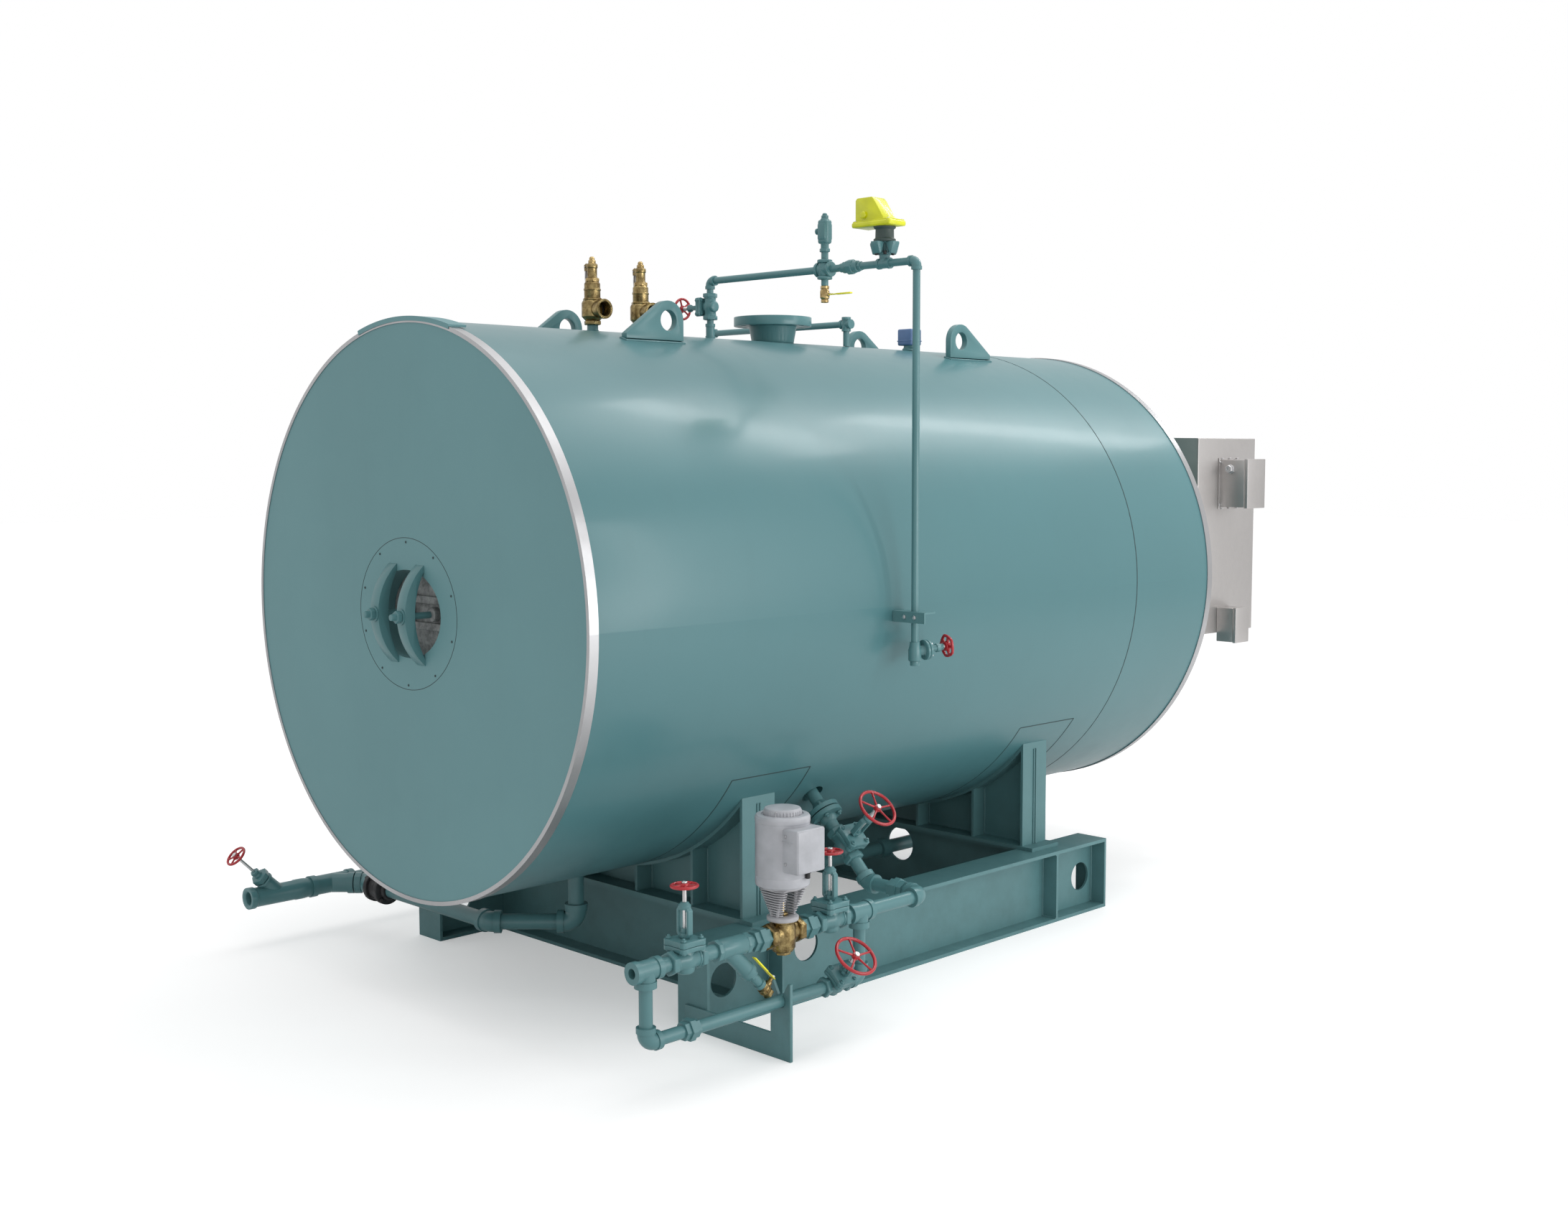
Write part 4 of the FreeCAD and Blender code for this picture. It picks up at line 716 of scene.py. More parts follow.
def gateValve(port, rise, bore):
    mouth, yokeTop = 2.9 * port, 0.74 * rise
    parts = [turned([(port, -mouth + port), (1.25 * port, -mouth + port), (1.25 * port, -port),
                     (1.5 * port, -0.5 * port), (1.5 * port, 0.5 * port), (1.25 * port, port),
                     (1.25 * port, mouth - port)], way=back, sides=40)]
    for side in (back, front):
        collar = [(1.32 * port, mouth - 1.2 * port), (1.32 * port, mouth - 0.9 * port)]
        parts += [hexNut(1.62 * port, mouth - 0.95 * port, mouth, way=side, hole=1.02 * bore),
                  turned(collar, way=side, sides=32)]
    parts.append(turned([(0.9 * port, -1.75 * port), (1.25 * port, -1.5 * port), (1.32 * port, 0.4 * port),
                         (1.2 * port, 1.4 * port)], sides=36, edge=0.25 * port))
    corner, lobes = 2.15 * port * 0.68, []
    for cx, cy, turn in ((1, 1, 0), (-1, 1, 90), (-1, -1, 180), (1, -1, 270)):
        for step in (-45, 0, 45, 90, 135):
            angle = math.radians(turn + step)
            lobes.append((cx * corner + 0.62 * port * math.cos(angle),
                          cy * corner + 0.62 * port * math.sin(angle)))
    for low, high in ((1.38, 1.98), (2.04, 2.78)):
        parts.append(plate(lobes, (high - low) * port, (0, 0, (low + high) / 2 * port * mm), edge=0.9))
    for cx in (-1, 1):
        for cy in (-1, 1):
            spot = offset(cx * corner, cy * corner, 0)
            boltEnd = [(0.19 * port, 3.1 * port), (0.17 * port, 3.3 * port)]
            parts += [hexNut(0.36 * port, 2.78 * port, 3.1 * port, spot),
                      turned(boltEnd, spot, sides=12, edge=0.3),
                      hexNut(0.34 * port, -1.38 * port, -1.12 * port, spot, down)]
    parts += [valveYoke(port, yokeTop),
              turned([(0.8 * port, yokeTop - 0.5 * port), (0.85 * port, yokeTop),
                      (0.55 * port, yokeTop + 0.3 * port), (0.5 * port, yokeTop + 0.42 * port)], sides=28),
              hexNut(0.62 * port, 2.9 * port, 3.5 * port),
              turned([(0.44 * port, 3.5 * port), (0.42 * port, 4.1 * port)], sides=24),
              turned([(6.4, 3.9 * port), (6.4, rise + 11)], paint="stem", sides=20, edge=0.6)]
    thread, low = {"pitch": 3.2, "radius": 6.3, "depth": 0.9}, yokeTop + 0.42 * port
    for i in range(int((rise - 9 - low) / thread["pitch"])):
        spot = offset(0, 0, low + (i + 0.5) * thread["pitch"])
        parts.append(ring(thread["radius"], thread["depth"], spot, paint="stem", sides=20, section=5))
    return parts


def valveYoke(port, yokeTop):
    # a chamfered frame with an open middle, from the bonnet to the yoke's top
    foot = 2.78 * port
    deselect()
    bpy.ops.mesh.primitive_plane_add(size=1)
    yoke = bpy.context.object
    openEdit()
    bpy.ops.transform.resize(value=(2.3 * port * mm, (yokeTop - foot) * mm, 1), center_override=(0, 0, 0))
    bpy.ops.mesh.bevel(offset=0.62 * port * mm, segments=1, affect="VERTICES")
    bpy.ops.mesh.inset(thickness=0.42 * port * mm, depth=0)
    bpy.ops.mesh.delete(type="FACE")
    bpy.ops.mesh.select_all(action="SELECT")
    pull(0.8 * port)
    closeEdit()
    roundEdges(yoke, 1.6)
    settle(yoke, offset(0, 0.4 * port, (foot + yokeTop) / 2), onEdge)
    return coat(yoke, "pipe")


inward = Vector((-1, 0, 1)).normalized()
feedFoot = at(992, 1266, 418)
valves = {      # name, port, rise, place, the pipe's way, the stem's way, bore
    "top_gate_valve": ("topGateValve", 18, 165, at(0, 1410, 2536.28), up, left, 13.4),
    "inlet_gate_valve": ("inletGateValve", 24, 230, at(1240, 165, 418), back, up, 24),
    "outlet_gate_valve": ("outletGateValve", 24, 230, at(1240, 805, 418), back, up, 24),
    "bypass_valve_body": ("bypassValve", 21, 150, at(1240, 828, 195), back, bypassWay, 21),
    "feed_stop_valve": ("feedStopValve", 24, 225, along(feedFoot, inward, 168), inward, (1, 0, 1), 24),
}
for node, (name, port, rise, spot, pipeWay, stemWay, bore) in valves.items():
    valve = joined(name, gateValve(port, rise, bore))
    settle(valve, spot, frameTurn(pipeWay, stemWay))
    fit(valve, "boiler", "pipe_paint", node)
print("gate valves")


# safety valves, one master placed twice

relief = {"stations": {"front": 820, "rear": 1053}, "seat": 2410.3, "outlet": 80, "hinge": (-33, 0, 239)}


def safetyValve():
    outlet, hinge = offset(0, 0, relief["outlet"]), offset(*relief["hinge"])
    parts = [turned([(23, 0), (23, 5), (20.5, 6), (20.5, 26)], paint="pipe", sides=32),
             hexNut(33, 24, 40, paint="bronze"),
             turned([(25, 38), (36, 50), (40, 54), (40, 104), (36, 112), (32, 115)], paint="bronze",
                    sides=44),
             turned([(36, 112), (37.5, 116), (37.5, 121), (33, 124)], paint="bronze", sides=6),
             turned([(30, 122), (30, 150), (32, 151), (32, 156), (29.5, 157), (29.5, 176), (24, 184)],
                    paint="bronze", sides=40),
             hexNut(28, 182, 196, paint="brass"),
             turned([(21, 194), (21, 198), (18.5, 200), (18.5, 232), (21, 234), (21, 246), (15, 251)],
                    paint="bronze", sides=32),
             hexNut(15, 249, 262, paint="brass"),
             turned([(10, 261), (10, 270), (6, 275)], paint="brass", sides=20),
             turned([(26, 14), (31, 34), (34, 46), (34, 60), (36.5, 62), (36.5, 74), (28, 74), (26.5, 70),
                     (26.5, 34), (12, 30)], outlet, right, "bronze", 40, 0.6)]
    for reach in (66, 62, 58, 54, 50):
        parts.append(ring(26.3, 1.1, outlet + offset(reach, 0, 0), right, "bronze", 32, 6))
    # a near-black disc deep in the outlet mouth: painted shade of its inside
    parts.append(turned([(25.5, 34.5), (25.5, 36)], outlet, right, "hole", 32, 0))
    ear = [(-16, -14), (10, -14), (10, 8), (-6, 14), (-18, 8)]
    for y in (-5.5, 5.5):
        parts.append(plate(ear, 3.4, hinge + offset(12, y, -1), onEdge, "bronze", 0.6))
    parts.append(turned([(3, -10), (3, 10)], hinge, back, "grey", 14, 0.4))
    return parts


def safetyLever():
    hinge = offset(*relief["hinge"])
    bar = plate([(-3, 6), (3, 8), (4.5, -4), (1.5, -40), (4, -70), (1, -86), (-3, -84), (-1, -68),
                 (-3.5, -40), (-2.5, -6)], 13, hinge, onEdge, "grey", 1.0)
    pad = turned([(7, -8), (7.5, -5), (7.5, 5), (7, 8)], hinge + offset(-0.5, 0, -81), back, "grey", 20)
    return [bar, pad]


master, lever = joined("reliefMaster", safetyValve()), joined("leverMaster", safetyLever())
for name, y in relief["stations"].items():
    spot, leverNode = at(0, y, relief["seat"]), name + "_safety_valve_lever"
    fit(copied(master, name + "ReliefValve", spot), "boiler", "bronze", name + "_safety_valve")
    fit(copied(lever, name + "ReliefLever", spot), leverNode, "lever_grey", leverNode)
for spare in (master, lever):
    bpy.data.objects.remove(spare)
print("safety valves")


# top line: fittings, vent, test cock, level control, riser clip and drain

topLine = {"y": 1410, "height": 2636.28, "cross": 630, "union": 765, "tee": 928, "riser": 1080, "tube": 13.4}
bore = topLine["tube"] + 0.4
cross = at(topLine["cross"], topLine["y"], topLine["height"])
barrel = [(22, -24), (24, -20), (24, 20), (22, 24)]
fittings = [turned(barrel, cross, way, sides=32) for way in (up, right)]
for way in (left, right, up, down):
    fittings.append(turned([(26, 24), (28, 26), (28, 34), (26, 36), (bore, 36)], cross, way, sides=32))
union = at(topLine["union"], topLine["y"], topLine["height"])
for way in (left, right):
    fittings.append(turned([(23, 14), (21, 22), (21, 34), (18, 37), (bore, 37)], union, way, sides=32))
    fittings.append(turned([(bore, 38), (17, 39), (17, 52), (bore, 53)], union, way, sides=8))
fittings.append(turned([(24, -16), (27, -13), (27, 13), (24, 16)], union, right, sides=8))
fit(joined("topLineFittings", fittings), "boiler", "pipe_paint")

reach = 2.2 * topLine["tube"]
ventFoot = at(topLine["cross"], topLine["y"], topLine["height"] + reach)
vent = {"tall": 88, "middle": 108, "drain": 112}
ventParts = [turned([(topLine["tube"], 0), (topLine["tube"], 34)], ventFoot, sides=28),
             hexNut(20, 34, 48, ventFoot), turned([(15, 48), (15, 62), (19, 68)], ventFoot, sides=32),
             block((44, 38, vent["tall"]), along(ventFoot, up, vent["middle"]), edge=9, segments=3),
             block((38, 43, 60), along(ventFoot, up, vent["middle"]), edge=5),
             turned([(9, 20), (9, 30), (12, 31), (12, 40), (9, 42)], along(ventFoot, up, vent["drain"]), left,
                    sides=24),
             turned([(18, 148), (15, 156), (12, 158)], ventFoot, sides=32), hexNut(14, 157, 168, ventFoot),
             turned([(9, 167), (9, 173), (6, 176)], ventFoot, sides=20)]
fit(joined("airVent", ventParts), "boiler", "pipe_paint", "air_vent")

testCock = {"stem": 63, "reach": 26.3}
cockTop = at(topLine["cross"], topLine["y"], topLine["height"] - reach)
cockMiddle = along(cockTop, down, testCock["stem"])
cock = [turned([(topLine["tube"], 0), (topLine["tube"], 30)], cockTop, down, "pipe", 28),
        hexNut(17, 30, 42, cockTop, down, "brass"),
        turned([(14, 42), (17.5, 50), (17.5, 74), (13, 80)], cockTop, down, "brass", 32),
        hexNut(15, 80, 92, cockTop, down, "brass", 9),
        turned([(10, 6), (10, 16), (7, 18), (5, 24)], cockMiddle, right, "brass", 20)]
fit(joined("testCock", cock), "boiler", "bronze", "test_cock")
stemEnd = along(cockMiddle, right, testCock["reach"])
leverOutline = [(0, -7), (10, -7), (30, -6), (60, -5.5), (104, -6.5), (110, -3), (110, 3), (104, 6.5),
                (60, 5.5), (30, 6), (10, 7), (0, 7)]
testLever = [plate(leverOutline, 4, stemEnd, None, "yellow", 1.2),
             block((74, 15, 6), along(stemEnd, right, 72), "yellow", 2.4),
             hexNut(7, -1, 5, along(stemEnd, right, 5), up, "zinc")]
fit(joined("testCockLever", testLever), "test_cock_lever", "lever_yellow", "test_cock_lever")

control = {"neck": 55, "wing": 46, "aside": -29.5, "hoodWidth": 68, "ears": ((-108, 50), (-36, 36))}
foot = at(topLine["tee"], topLine["y"], topLine["height"] + reach)
body = [hexNut(24, 0, 11, foot), turned([(13, 10), (11, 20), (11, 42), (30, 46)], foot, sides=28)]
wing = [(22, 46), (56, 46), (56, 38), (44, 4), (36, 4), (24, 38)]
for i in range(4):
    body.append(plate(wing, 34, foot, Matrix.Rotation(math.pi * i / 2, 4, "Z") @ onEdge, "pipe", 2.0))
for way in around(4, 0.5):
    body.append(turned([(5, 0), (6.5, 3), (6.5, 10), (4, 14)], along(foot, way, 30), paint="iron", sides=16))
neckFoot = along(foot, up, control["wing"])
neck = [(38, 0), (40, 3), (40, 10), (34, 14), (33, 44), (40, 50), (40, control["neck"])]
# the neck under the yellow cover, in near-black teal as painted shade
body.append(turned(neck, neckFoot, paint="neck", sides=40))
fit(joined("levelControlNeck", body), "boiler", "pipe_paint", "level_control")

flangeFoot = along(neckFoot, up, control["neck"])
caseMiddle = flangeFoot + offset(control["aside"], 0, 0)
hood = [(-112, 0), (24, 0), (22, 12), (-24, 78), (-33, 86), (-104, 86), (-112, 78)]
case = [block((185, 92, 20), along(caseMiddle, up, 10), "lime", 7, None, 4),
        plate(hood, control["hoodWidth"], along(flangeFoot, up, 20), onEdge, "lime", 2.6),
        block((176, 84, 5), along(caseMiddle, up, 21), "lime", 2)]
for y in control["ears"][1]:
    for x in control["ears"][0]:
        spot = flangeFoot + offset(x, y, 0)
        case += [turned([(9, 2), (9, 21), (7, 23)], spot, paint="lime", sides=24),
                 turned([(5, 22), (5, 25), (3.6, 26), (1.4, 26), (1.2, 24.6)], spot, paint="zinc", sides=16,
                        edge=0)]
case.append(turned([(13, 28), (13, 40), (10, 43)], flangeFoot + offset(-70, 0, 44), front, "lime", 28))
fit(joined("levelControlCover", case), "boiler", "cover_yellow", "level_control_cover")

drain = {"foot": 1216, "length": 70, "rise": 138, "knob": 45, "lobes": 5, "tilt": (0.3, 1, 0.1), "bolts": 29}
drainFoot = at(topLine["riser"], topLine["y"], drain["foot"])
tilt, tiltTurn = Vector(drain["tilt"]).normalized(), towards(Vector(drain["tilt"]).normalized())
drainRoot = along(drainFoot, up, drain["length"] / 2)
valve = [turned([(20, 0), (24, 4), (24, 40), (20, 56), (18, drain["length"])], drainFoot, sides=12),
         turned([(18, 4), (18, 30), (22, 36)], drainRoot, tilt, sides=28),
         turned([(34, 36), (37, 38), (37, 46), (34, 48)], drainRoot, tilt, sides=44),
         turned([(32, 49), (35, 51), (35, 58), (24, 62)], drainRoot, tilt, sides=44),
         turned([(14, 60), (11, 84), (13, 88)], drainRoot, tilt, sides=28),
         hexNut(17, 88, 106, drainRoot, tilt),
         turned([(13, 106), (12, 118)], drainRoot, tilt, sides=24),
         turned([(7, 112), (7, drain["rise"] + 11)], drainRoot, tilt, "stem", 20),
         turned([(16, -16), (17, -12), (17, 4)], drainFoot, up, "pipe", 28)]
for way in around(4, 0.5):
    valve.append(hexNut(4.5, 57, 63, along(drainRoot, tiltTurn @ way, drain["bolts"]), tilt, "zinc"))
fit(joined("drainValve", valve), "boiler", "pipe_paint", "drain_valve")
knob = [turned([(10.6, -13), (17, -11), (18, -6), (18, 6), (14, 9), (10.6, 9)], paint="red", sides=28),
        hexNut(9, 9, 14, paint="stem", hole=6)]
rim = []
for i, way in enumerate(around(60)):
    radius = drain["knob"] - 6 - 3.5 * abs(math.sin(drain["lobes"] * math.pi * i / 60))
    rim.append(way * radius * mm)
knob.append(bead(rim, 5.5, "red", True))
for way in around(drain["lobes"], 0.5):
    knob.append(turned([(6.5, 14), (5, 26), (6, drain["knob"] - 10)], way=way, paint="red", sides=12))
knob = joined("drainKnob", knob)
settle(knob, along(drainRoot, tilt, drain["rise"]), tiltTurn)
fit(knob, "drain_wheel", "wheel_red", "drain_wheel")

riserClip = {"radius": 24, "height": 1376, "back": 40, "nut": 30, "rod": 3.5}
clipMiddle = at(topLine["riser"], topLine["y"], riserClip["height"])
bendAngles = [math.radians(a) for a in range(0, 181, 15)]
bend = [offset(-math.cos(a), math.sin(a), 0) * riserClip["radius"] for a in bendAngles]
legs = [offset(side * riserClip["radius"], -riserClip["back"], 0) for side in (-1, 1)]
clip = [bead([clipMiddle + point for point in bend + [legs[1]]], riserClip["rod"], "zinc"),
        bead([clipMiddle + bend[0], clipMiddle + legs[0]], riserClip["rod"], "zinc")]
for side in (-1, 1):
    spot = clipMiddle + offset(side * riserClip["radius"], -riserClip["nut"], 0)
    clip.append(hexNut(8, 0, 6, spot, front, "zinc"))
fit(joined("riserClip", clip), "boiler", "frame_paint")

low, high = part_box("limit_switch")
footSpot = Vector(((low.x + high.x) / 2, (low.y + high.y) / 2, low.z))
topSpot = Vector((footSpot.x, footSpot.y, high.z))
switch = [turned([(31, -4), (31, 5), (26, 8), (24, 16), (28, 21)], footSpot, sides=32),
          block((80, 70, 71), along(topSpot, down, 36), "blue", 7, None, 4),
          block((82, 72, 6), along(topSpot, down, 52), "blue", 2.4)]
for x in (-28, 28):
    for y in (-24, 24):
        spot = topSpot + offset(x, y, -3.2)
        switch.append(turned([(4, 0), (4, 2.0), (1.4, 2.6), (1.2, 1.0)], spot, up, "zinc", 14, 0))
fit(joined("limitSwitch", switch), "boiler", "switch_blue", "limit_switch")
print("top line fittings")


# feed train: strainer with its cock, control valve, yoke and actuator

train = {"x": 1240, "z": 418, "strainer": 355, "legBack": 20, "legLength": 215, "cockStem": 24,
         "knurls": 20, "control": 585}
mid = at(train["x"], train["strainer"], train["z"])
leg, across = Vector((0, 1, -1)).normalized(), Vector((0, 1, 1)).normalized()
root = at(train["x"], train["strainer"] - train["legBack"], train["z"])
body = [turned([(30, -56), (33, -50), (33, 50), (30, 56)], mid, back, sides=40),
        turned([(24.4, -70), (35, -70), (35, -54), (31, -50)], mid, back, sides=8),
        turned([(31, 50), (35, 54), (35, 70), (24.4, 70)], mid, back, sides=8),
        turned([(27, 10), (26, 60), (26, 116), (30, 120), (30, 138), (26, 142)], root, leg, sides=36),
        hexNut(25, 142, 156, root, leg), turned([(16, 156), (16, 200)], root, leg, sides=28),
        turned([(19, 200), (19, train["legLength"])], root, leg, sides=28)]
fit(joined("strainerBody", body), "boiler", "pipe_paint", "strainer")
seat = along(root, leg, train["legLength"])
stemFoot = along(seat, leg, train["cockStem"])
body = [hexNut(21, 0, 12, seat, leg, "bronze"),
        turned([(16, 12), (19, 18), (19.5, 28), (17, 36)], seat, leg, "bronze", 32),
        hexNut(20, 34, 50, seat, leg, "bronze", 9.5),
        # near-black disc inside the bore: painted shade
        turned([(9.4, 44), (9.3, 45)], seat, leg, "hole", 20, 0),
        turned([(11, 14), (11, 28), (8, 30), (6, 43)], stemFoot, across, "bronze", 24)]
for i in range(train["knurls"]):
    side = Matrix.Rotation(2 * math.pi * i / train["knurls"], 4, leg) @ Vector(right)
    body.append(block((2.4, 2.4, 8), along(stemFoot, side, 19.6), "bronze", 0.6, frameTurn(side, leg), 1))
fit(joined("strainerCock", body), "boiler", "bronze", "strainer_cock")
pivot = along(stemFoot, across, 44.3)
turn = frameTurn(leg, across)
outline = [(-8, 9), (8, 9), (9, -14), (7, -40), (7.5, -108), (5, -118), (-5, -118), (-7.5, -108), (-7, -40),
           (-9, -14)]
lever = [plate(outline, 3, along(pivot, across, 2.2), turn, "yellow", 1.0),
         block((15, 80, 5.2), along(along(pivot, across, 3.2), leg, -74), "yellow", 2.2, turn),
         hexNut(8, 3, 9, pivot, across, "zinc")]
fit(joined("strainerLever", lever), "strainer_cock_lever", "lever_yellow", "strainer_cock_lever")

seat = at(train["x"], train["control"], train["z"])
body = [turned([(24, -62), (34, -58), (41, -46), (43, -20), (43, 18), (39, 30), (40, 36), (44, 38), (44, 43)],
               seat, up, "bronze", 44),
        hexNut(26, -70, -60, seat, up, "bronze"),
        turned([(34, -50), (35, -26), (35, 26), (34, 50)], seat, back, "bronze", 40),
        hexNut(44, 47, 75, seat, back, "bronze", 25), hexNut(44, 47, 75, seat, front, "bronze", 25),
        turned([(17, 43), (14, 50), (14, 64), (10, 68), (6, 72), (6, 100)], seat, up, "brass", 28),
        hexNut(17, 58, 68, seat, up, "brass")]
fit(joined("controlValveBody", body), "boiler", "bronze", "control_valve")

yokeCage = {"fins": 11, "pitch": 8.6, "low": 64, "ribBack": 36, "top": 161}
yoke = [turned([(50, 43.3), (52, 46), (52, 56), (46, 60), (20, 60), (19, 45)], seat, up, "cast", 44),
        turned([(20, 148), (58, 146), (70, 152), (70, yokeCage["top"]), (20, yokeCage["top"])], seat, up,
               "cast", 48)]
for side in (-1, 1):
    for i in range(yokeCage["fins"]):
        share = i / (yokeCage["fins"] - 1)
        span, near, far = 27 + 31 * share, 24 + 10 * share, 41 + 24 * share
        fin = [(-span, near), (span, near), (span, far * 0.8), (span * 0.55, far), (-span * 0.55, far),
               (-span, far * 0.8)]
        fin = [(x, side * y) for x, y in fin]
        spot = along(seat, up, yokeCage["low"] + yokeCage["pitch"] * i)
        yoke.append(plate(fin, 3.0, spot, None, "cast", 0.6))
    for x in (-1, 1):
        rib = [(x * 12 - 4, 56), (x * 12 + 4, 56), (x * 30 + 5, 150), (x * 30 - 5, 150)]
        yoke.append(plate(rib, 9, seat + offset(0, side * yokeCage["ribBack"], 0), onEdge, "cast", 1.4))
fit(joined("controlYoke", yoke), "boiler", "yoke_grey", "control_yoke")

actuator = {"ridges": 36, "ridgeRadius": 60, "ridgeRise": 235, "box": (84, 124, 141), "boxAt": (88, 0, 127.5),
            "gland": (6, 20, 0)}
foot = along(seat, up, yokeCage["top"])
motor = [turned([(86, 0.2), (89, 3), (89, 30), (88, 32), (89, 34), (88.5, 206), (89.8, 207), (89.8, 222),
                 (85, 229), (68, 231), (68, 227), (63, 227), (61, 229), (60, 246), (57, 250), (20, 252)],
                foot, up, "white", 64, 1.2)]
for i, way in enumerate(around(actuator["ridges"])):
    ridgeTurn = Matrix.Rotation(2 * math.pi * i / actuator["ridges"], 4, "Z")
    spot = along(along(foot, up, actuator["ridgeRise"]), way, actuator["ridgeRadius"])
    motor.append(block((5, 4, 16), spot, "white", 1.4, ridgeTurn, 1))
box = foot + offset(*actuator["boxAt"])
motor += [block(actuator["box"], box, "white", 6, None, 3),
          block((6, 118, 134), box + offset(40.5, 0, 0), "white", 2.5),
          block((60, 128, 3), box + offset(-10, 0, 30), "white", 1)]
for z in (-42, 48):
    motor.append(turned([(5.5, 61), (5.5, 64), (3.8, 65.4), (1.5, 65.4), (1.3, 63.6)],
                        box + offset(-12, 0, z), front, "grey", 18, 0))
gland = box + offset(*actuator["gland"])
motor += [hexNut(12, 70, 80, gland, down, "iron"),
          turned([(8, 80), (8, 96), (6, 98)], gland, down, "iron", 20)]
clipSpot = foot + offset(30, -50, 239.5)
motor.append(bead([clipSpot, clipSpot + offset(0, -10, 6), clipSpot + offset(4, -14, -12)], 2, "grey"))
fit(joined("controlActuator", motor), "boiler", "actuator_white", "control_actuator")
print("control valve and actuator")


# flange pair on the feed line

flange = {"reach": 312, "gasket": 2.4, "bolts": 4, "circle": 46}
flangeSpot = along(feedFoot, inward, flange["reach"])
extras = []
for way in around(flange["bolts"], 0.5):
    spot = along(flangeSpot, towards(inward) @ way, flange["circle"])
    extras += [hexNut(10, 19.6, 28, spot, inward), hexNut(10, 19.6, 28, spot, -inward),
               turned([(5.5, 28), (5.5, 34), (4.5, 35)], spot, inward, "pipe", 14),
               turned([(5.5, 28), (5.5, 33), (4.5, 34)], spot, -inward, "pipe", 14)]
extras += [turned([(50, -flange["gasket"]), (50, flange["gasket"])], flangeSpot, inward, "iron", 40, 0),
           turned([(34, 19.5), (31, 36), (25.5, 46), (24.4, 48)], flangeSpot, inward, sides=36),
           turned([(34, 19.5), (31, 32), (25.5, 40), (24.4, 42)], flangeSpot, -inward, sides=36)]
fit(joined("feedFlangeBolts", extras), "boiler", "pipe_paint")


# blowdown valve and check valve

blow = {"x": -1200, "z": 196, "front": 6, "root": 142, "stem": (0, -1, 1), "checkBolts": 52,
        "checkFlange": 38}
outlet = at(blow["x"], blow["front"], blow["z"])
stemWay = Vector(blow["stem"]).normalized()
stemRoot = at(blow["x"], blow["root"], blow["z"])
body = [turned([(27, 60), (25.5, 58), (25.5, 6), (31, 0.6), (43.5, 0), (43.5, 24), (39, 30), (39, 200),
                (41, 204), (41, 240), (38, 270)], outlet, back, sides=44),
        turned([(34, 6), (31, 40), (30, 84)], stemRoot, stemWay, sides=36),
        turned([(35, 84), (35, 92), (31, 95)], stemRoot, stemWay, sides=36),
        hexNut(37, 97, 123, stemRoot, stemWay), turned([(17, 123), (15, 136)], stemRoot, stemWay, sides=28),
        hexNut(18, 136, 150, stemRoot, stemWay),
        turned([(6.4, 148), (6.4, 265)], stemRoot, stemWay, "stem", 20),
        # near-black disc inside the outlet bore: painted shade
        turned([(25.3, 56), (25.2, 57.5)], outlet, back, "hole", 40, 0)]
fit(joined("blowdownValve", body), "boiler", "pipe_paint", "blowdown_valve")

low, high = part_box("blowdown_check")
middle = (low + high) / 2
casing = [(36, -66), (42, -58), (42, -50), (39, -48), (39, 48), (42, 50), (42, 58), (36, 66)]
checkParts = [turned(casing, middle, left, "iron", 40)]
for reach in (-blow["checkFlange"], blow["checkFlange"]):
    disc = [(60, reach - 11), (62, reach - 9), (62, reach + 9), (60, reach + 11)]
    checkParts.append(turned(disc, middle, left, "iron", 48))
checkParts.append(turned([(52, -26), (52, 26)], middle, left, "iron", 40))
for way in around(4, 0.5):
    spot = middle + offset(0, way.x, way.y) * blow["checkBolts"]
    checkParts += [hexNut(9, 49.5, 58, spot, left, "iron"), hexNut(9, 49.5, 58, spot, right, "iron"),
                   turned([(4.5, -64), (4.5, 64)], spot, left, "iron", 14)]
checkParts.append(turned([(16, 34), (16, 56), (11, 60)], middle, up, "iron", 28))
fit(joined("blowdownCheck", checkParts), "boiler", "check_black", "blowdown_check")
print("blowdown valves")


# control cabinet and its junction boxes

cabinet = {"doorInset": 60, "doorGauge": 10, "seam": 2.4, "seamInset": 90, "hinges": (-0.34, 0, 0.34),
           "latches": (-0.3, 0.3), "neck": 247, "depth": 185}
low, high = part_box("control_cabinet")
size, middle = (high - low) / mm, (low + high) / 2
doorSize = (size.x - cabinet["doorInset"], cabinet["doorGauge"], size.z - cabinet["doorInset"])
sheets = [block(size, middle, "sheet", 3.5, None, 3),
          block(doorSize, Vector((middle.x, high.y - 0.001, middle.z)), "sheet", 3)]
for side in (-0.5, 0.5):
    spot = Vector((middle.x + side * (size.x - cabinet["seamInset"]) * mm, middle.y, high.z - 0.0006))
    sheets.append(block((cabinet["seam"], size.y - 6, cabinet["seam"]), spot, "sheet", 0.5))
for share in cabinet["hinges"]:
    spot = Vector((low.x + 0.026, high.y + 0.003, middle.z + share * size.z * mm))
    sheets.append(turned([(7, -34), (7, 34)], spot, up, "zinc", 18))
for share in cabinet["latches"]:
    spot = Vector((high.x - 0.055, high.y + 0.002, middle.z + share * size.z * mm))
    sheets += [turned([(15, 0), (15, 6), (12, 8)], spot, back, "zinc", 28),
               block((8, 8, 34), along(spot, back, 10), "iron", 2)]
fit(joined("cabinetBox", sheets), "boiler", "cabinet_steel", "control_cabinet")
# the neck between the rear head and the cabinet, in near-black teal as painted shade
softened("cabinet_neck", "cabinetNeck", "cabinet_paint", "neck", 2.5)

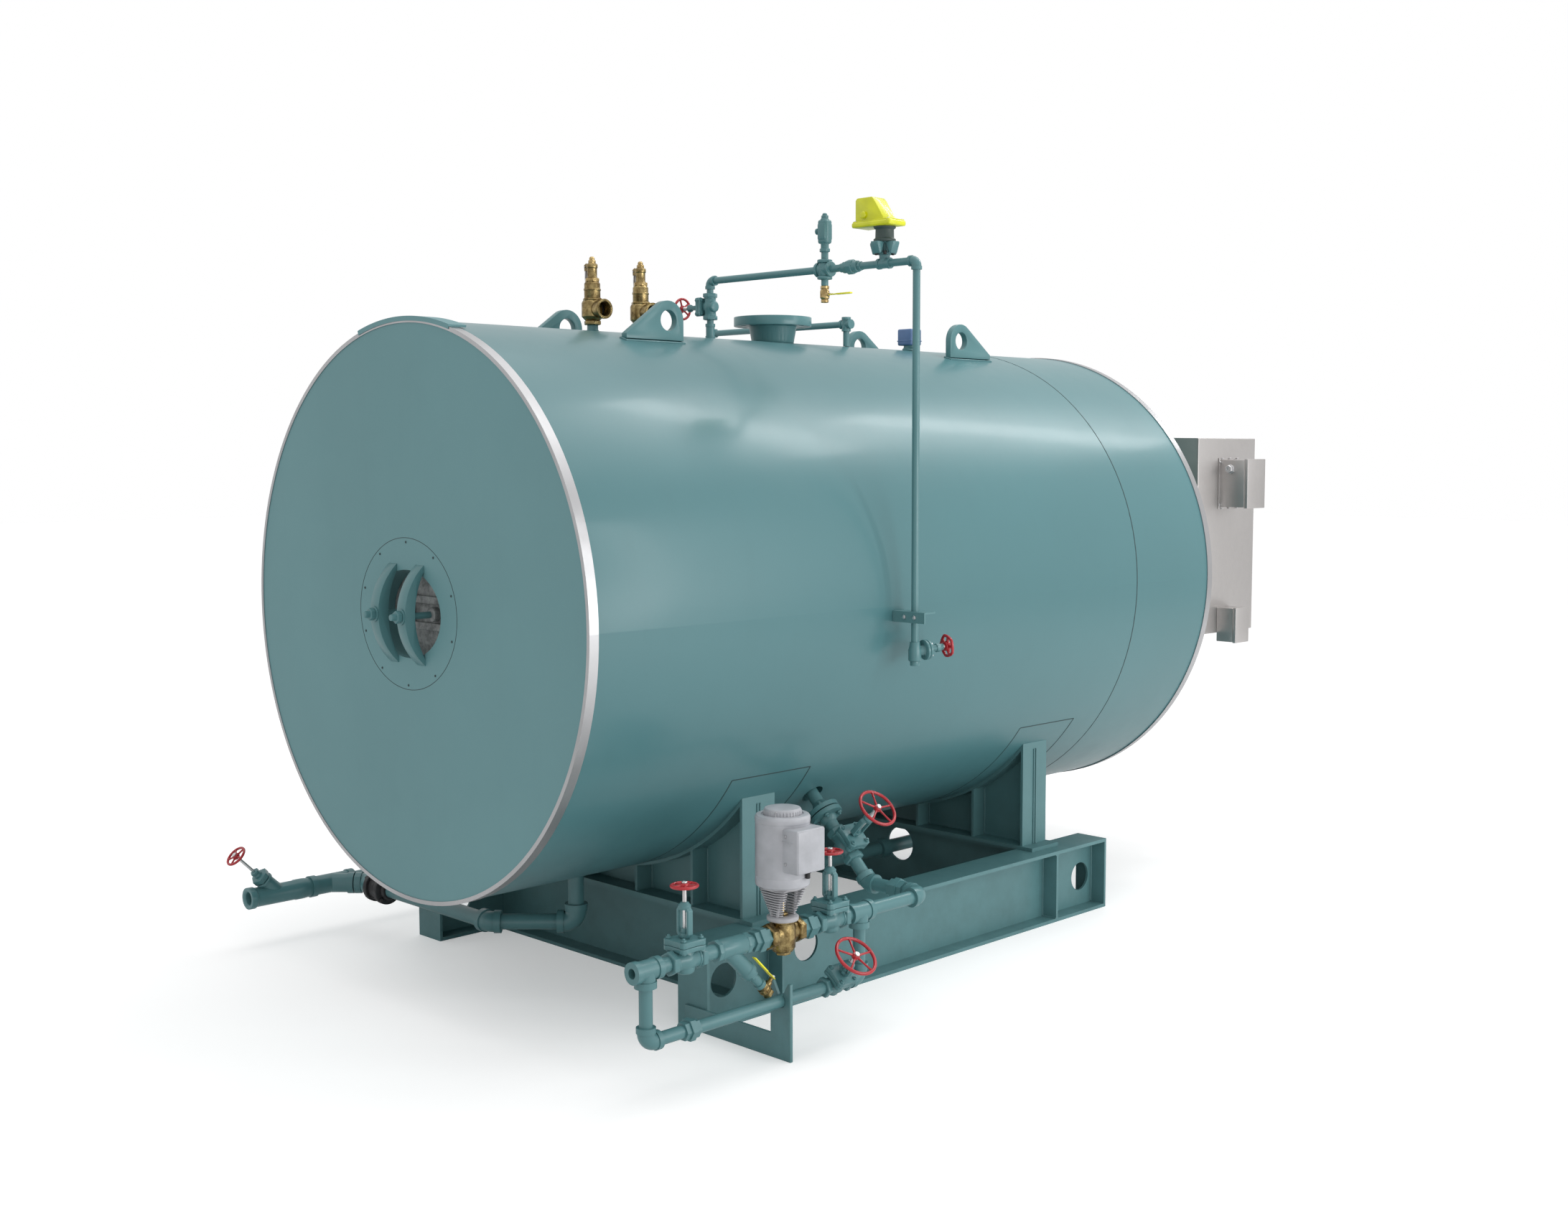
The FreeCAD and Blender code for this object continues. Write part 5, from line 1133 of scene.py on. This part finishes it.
junction = {"upper": (77, 75, 1817), "lower": (52, 56.5, 1150), "gland": (-17, -75, 68)}
low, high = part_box("junction_boxes")
rearFace = plateLow.y + (vessel["length"] + cabinet["neck"] + cabinet["depth"]) * mm
upperMiddle, lowerMiddle = [Vector((low.x + x * mm, rearFace + y * mm, z * mm))
                            for x, y, z in (junction["upper"], junction["lower"])]
boxes = [block((132, 150, 222), upperMiddle + offset(-11, 0, 0), "sheet", 2.5),
         block((20, 158, 230), upperMiddle + offset(66, 0, 0), "sheet", 2.5),
         block((4, 172, 240), upperMiddle + offset(-74, 0, 0), "sheet", 1)]
for y in (-66, 0, 66):
    for z, way in ((-115, down), (115, up)):
        boxes.append(hexNut(6, 0, 5, upperMiddle + offset(-66, y, z), way, "zinc"))
for y in (-80, 80):
    for z in (-100, 100):
        boxes.append(hexNut(6, 0, 5, upperMiddle + offset(-72, y, z), right, "zinc"))
glandSpot = upperMiddle + offset(*junction["gland"])
boxes += [hexNut(23, 0, 8, glandSpot, front, "zinc"), hexNut(19, 8, 24, glandSpot, front, "zinc", 9),
          # near-black disc inside the gland hole: painted shade
          turned([(9, 18), (8.8, 19)], glandSpot, front, "hole", 20, 0),
          block((86, 113, 160), lowerMiddle + offset(-9, 0, 0), "sheet", 2.5),
          block((16, 119, 166), lowerMiddle + offset(44, 0, 0), "sheet", 2.0)]
fit(joined("junctionBoxes", boxes), "boiler", "cabinet_steel", "junction_boxes")
print("cabinet")


# floor and light

studio = {"floor": 90, "fill": 0.82, "lift": (0.34, 0.34, 0.34), "pale": (0.82, 0.82, 0.82),
          "dim": (0.79, 0.79, 0.79)}
lamps = {       # spot, aim, width, length, watts
    "roof": ((0.5, 0, 8), (0, 0, 1), 7, 9, 150),
    "stripFront": ((1.3, 2.2, 5.6), (0.6, 1.6, 1.4), 0.5, 2.6, 46),
    "stripRear": ((1.3, 4.9, 5.6), (0.6, 3.0, 1.4), 0.5, 2.8, 50),
    "sideWall": ((8.0, 0.5, 1.6), (0.8, 1.0, 0.4), 5, 1.6, 150),
    "sideStrip": ((6.2, 2.8, 3.1), (0.9, 2.2, 1.6), 0.45, 4.5, 60),
}
deselect()
bpy.ops.mesh.primitive_plane_add(size=studio["floor"])
ground = bpy.context.object
ground.name = "floor"
floorPaint = Paint("paleFloor")
tone = floorPaint.mix(floorPaint.cloud(0.8, 3).above(0.3, 0.7), studio["dim"], studio["pale"])
seen = floorPaint.add("ShaderNodeLightPath", {}, {}, "Is Camera Ray")
lift = floorPaint.mix(seen, (0, 0, 0), studio["lift"])
ground.data.materials.append(floorPaint.finish({"Base Color": tone, "Roughness": 0.6, "Emission Color": lift,
                                                "Emission Strength": 1.0}))

world = bpy.data.worlds.new("studio")
bpy.context.scene.world = world
world.use_nodes = True
sky = world.node_tree
sky.nodes["Background"].inputs["Color"].default_value = (1, 1, 1, 1)
rays = sky.nodes.new("ShaderNodeLightPath")
seen = sky.nodes.new("ShaderNodeMapRange")   # plain white to the eye, softer as a light
seen.inputs["To Min"].default_value = studio["fill"]
seen.inputs["To Max"].default_value = 1.0
sky.links.new(rays.outputs["Is Camera Ray"], seen.inputs["Value"])
sky.links.new(seen.outputs["Result"], sky.nodes["Background"].inputs["Strength"])

for name, (spot, aim, width, length, watts) in lamps.items():
    lamp = bpy.data.lights.new(name, "AREA")
    lamp.shape = "RECTANGLE"
    lamp.size, lamp.size_y = width, length
    lamp.energy = watts
    holder = bpy.data.objects.new(name, lamp)
    bpy.context.scene.collection.objects.link(holder)
    holder.location = spot
    holder.rotation_euler = (Vector(aim) - Vector(spot)).to_track_quat("-Z", "Y").to_euler()
    holder.visible_camera = False
bpy.context.scene.view_settings.view_transform = "Standard"
print("floor and lights")
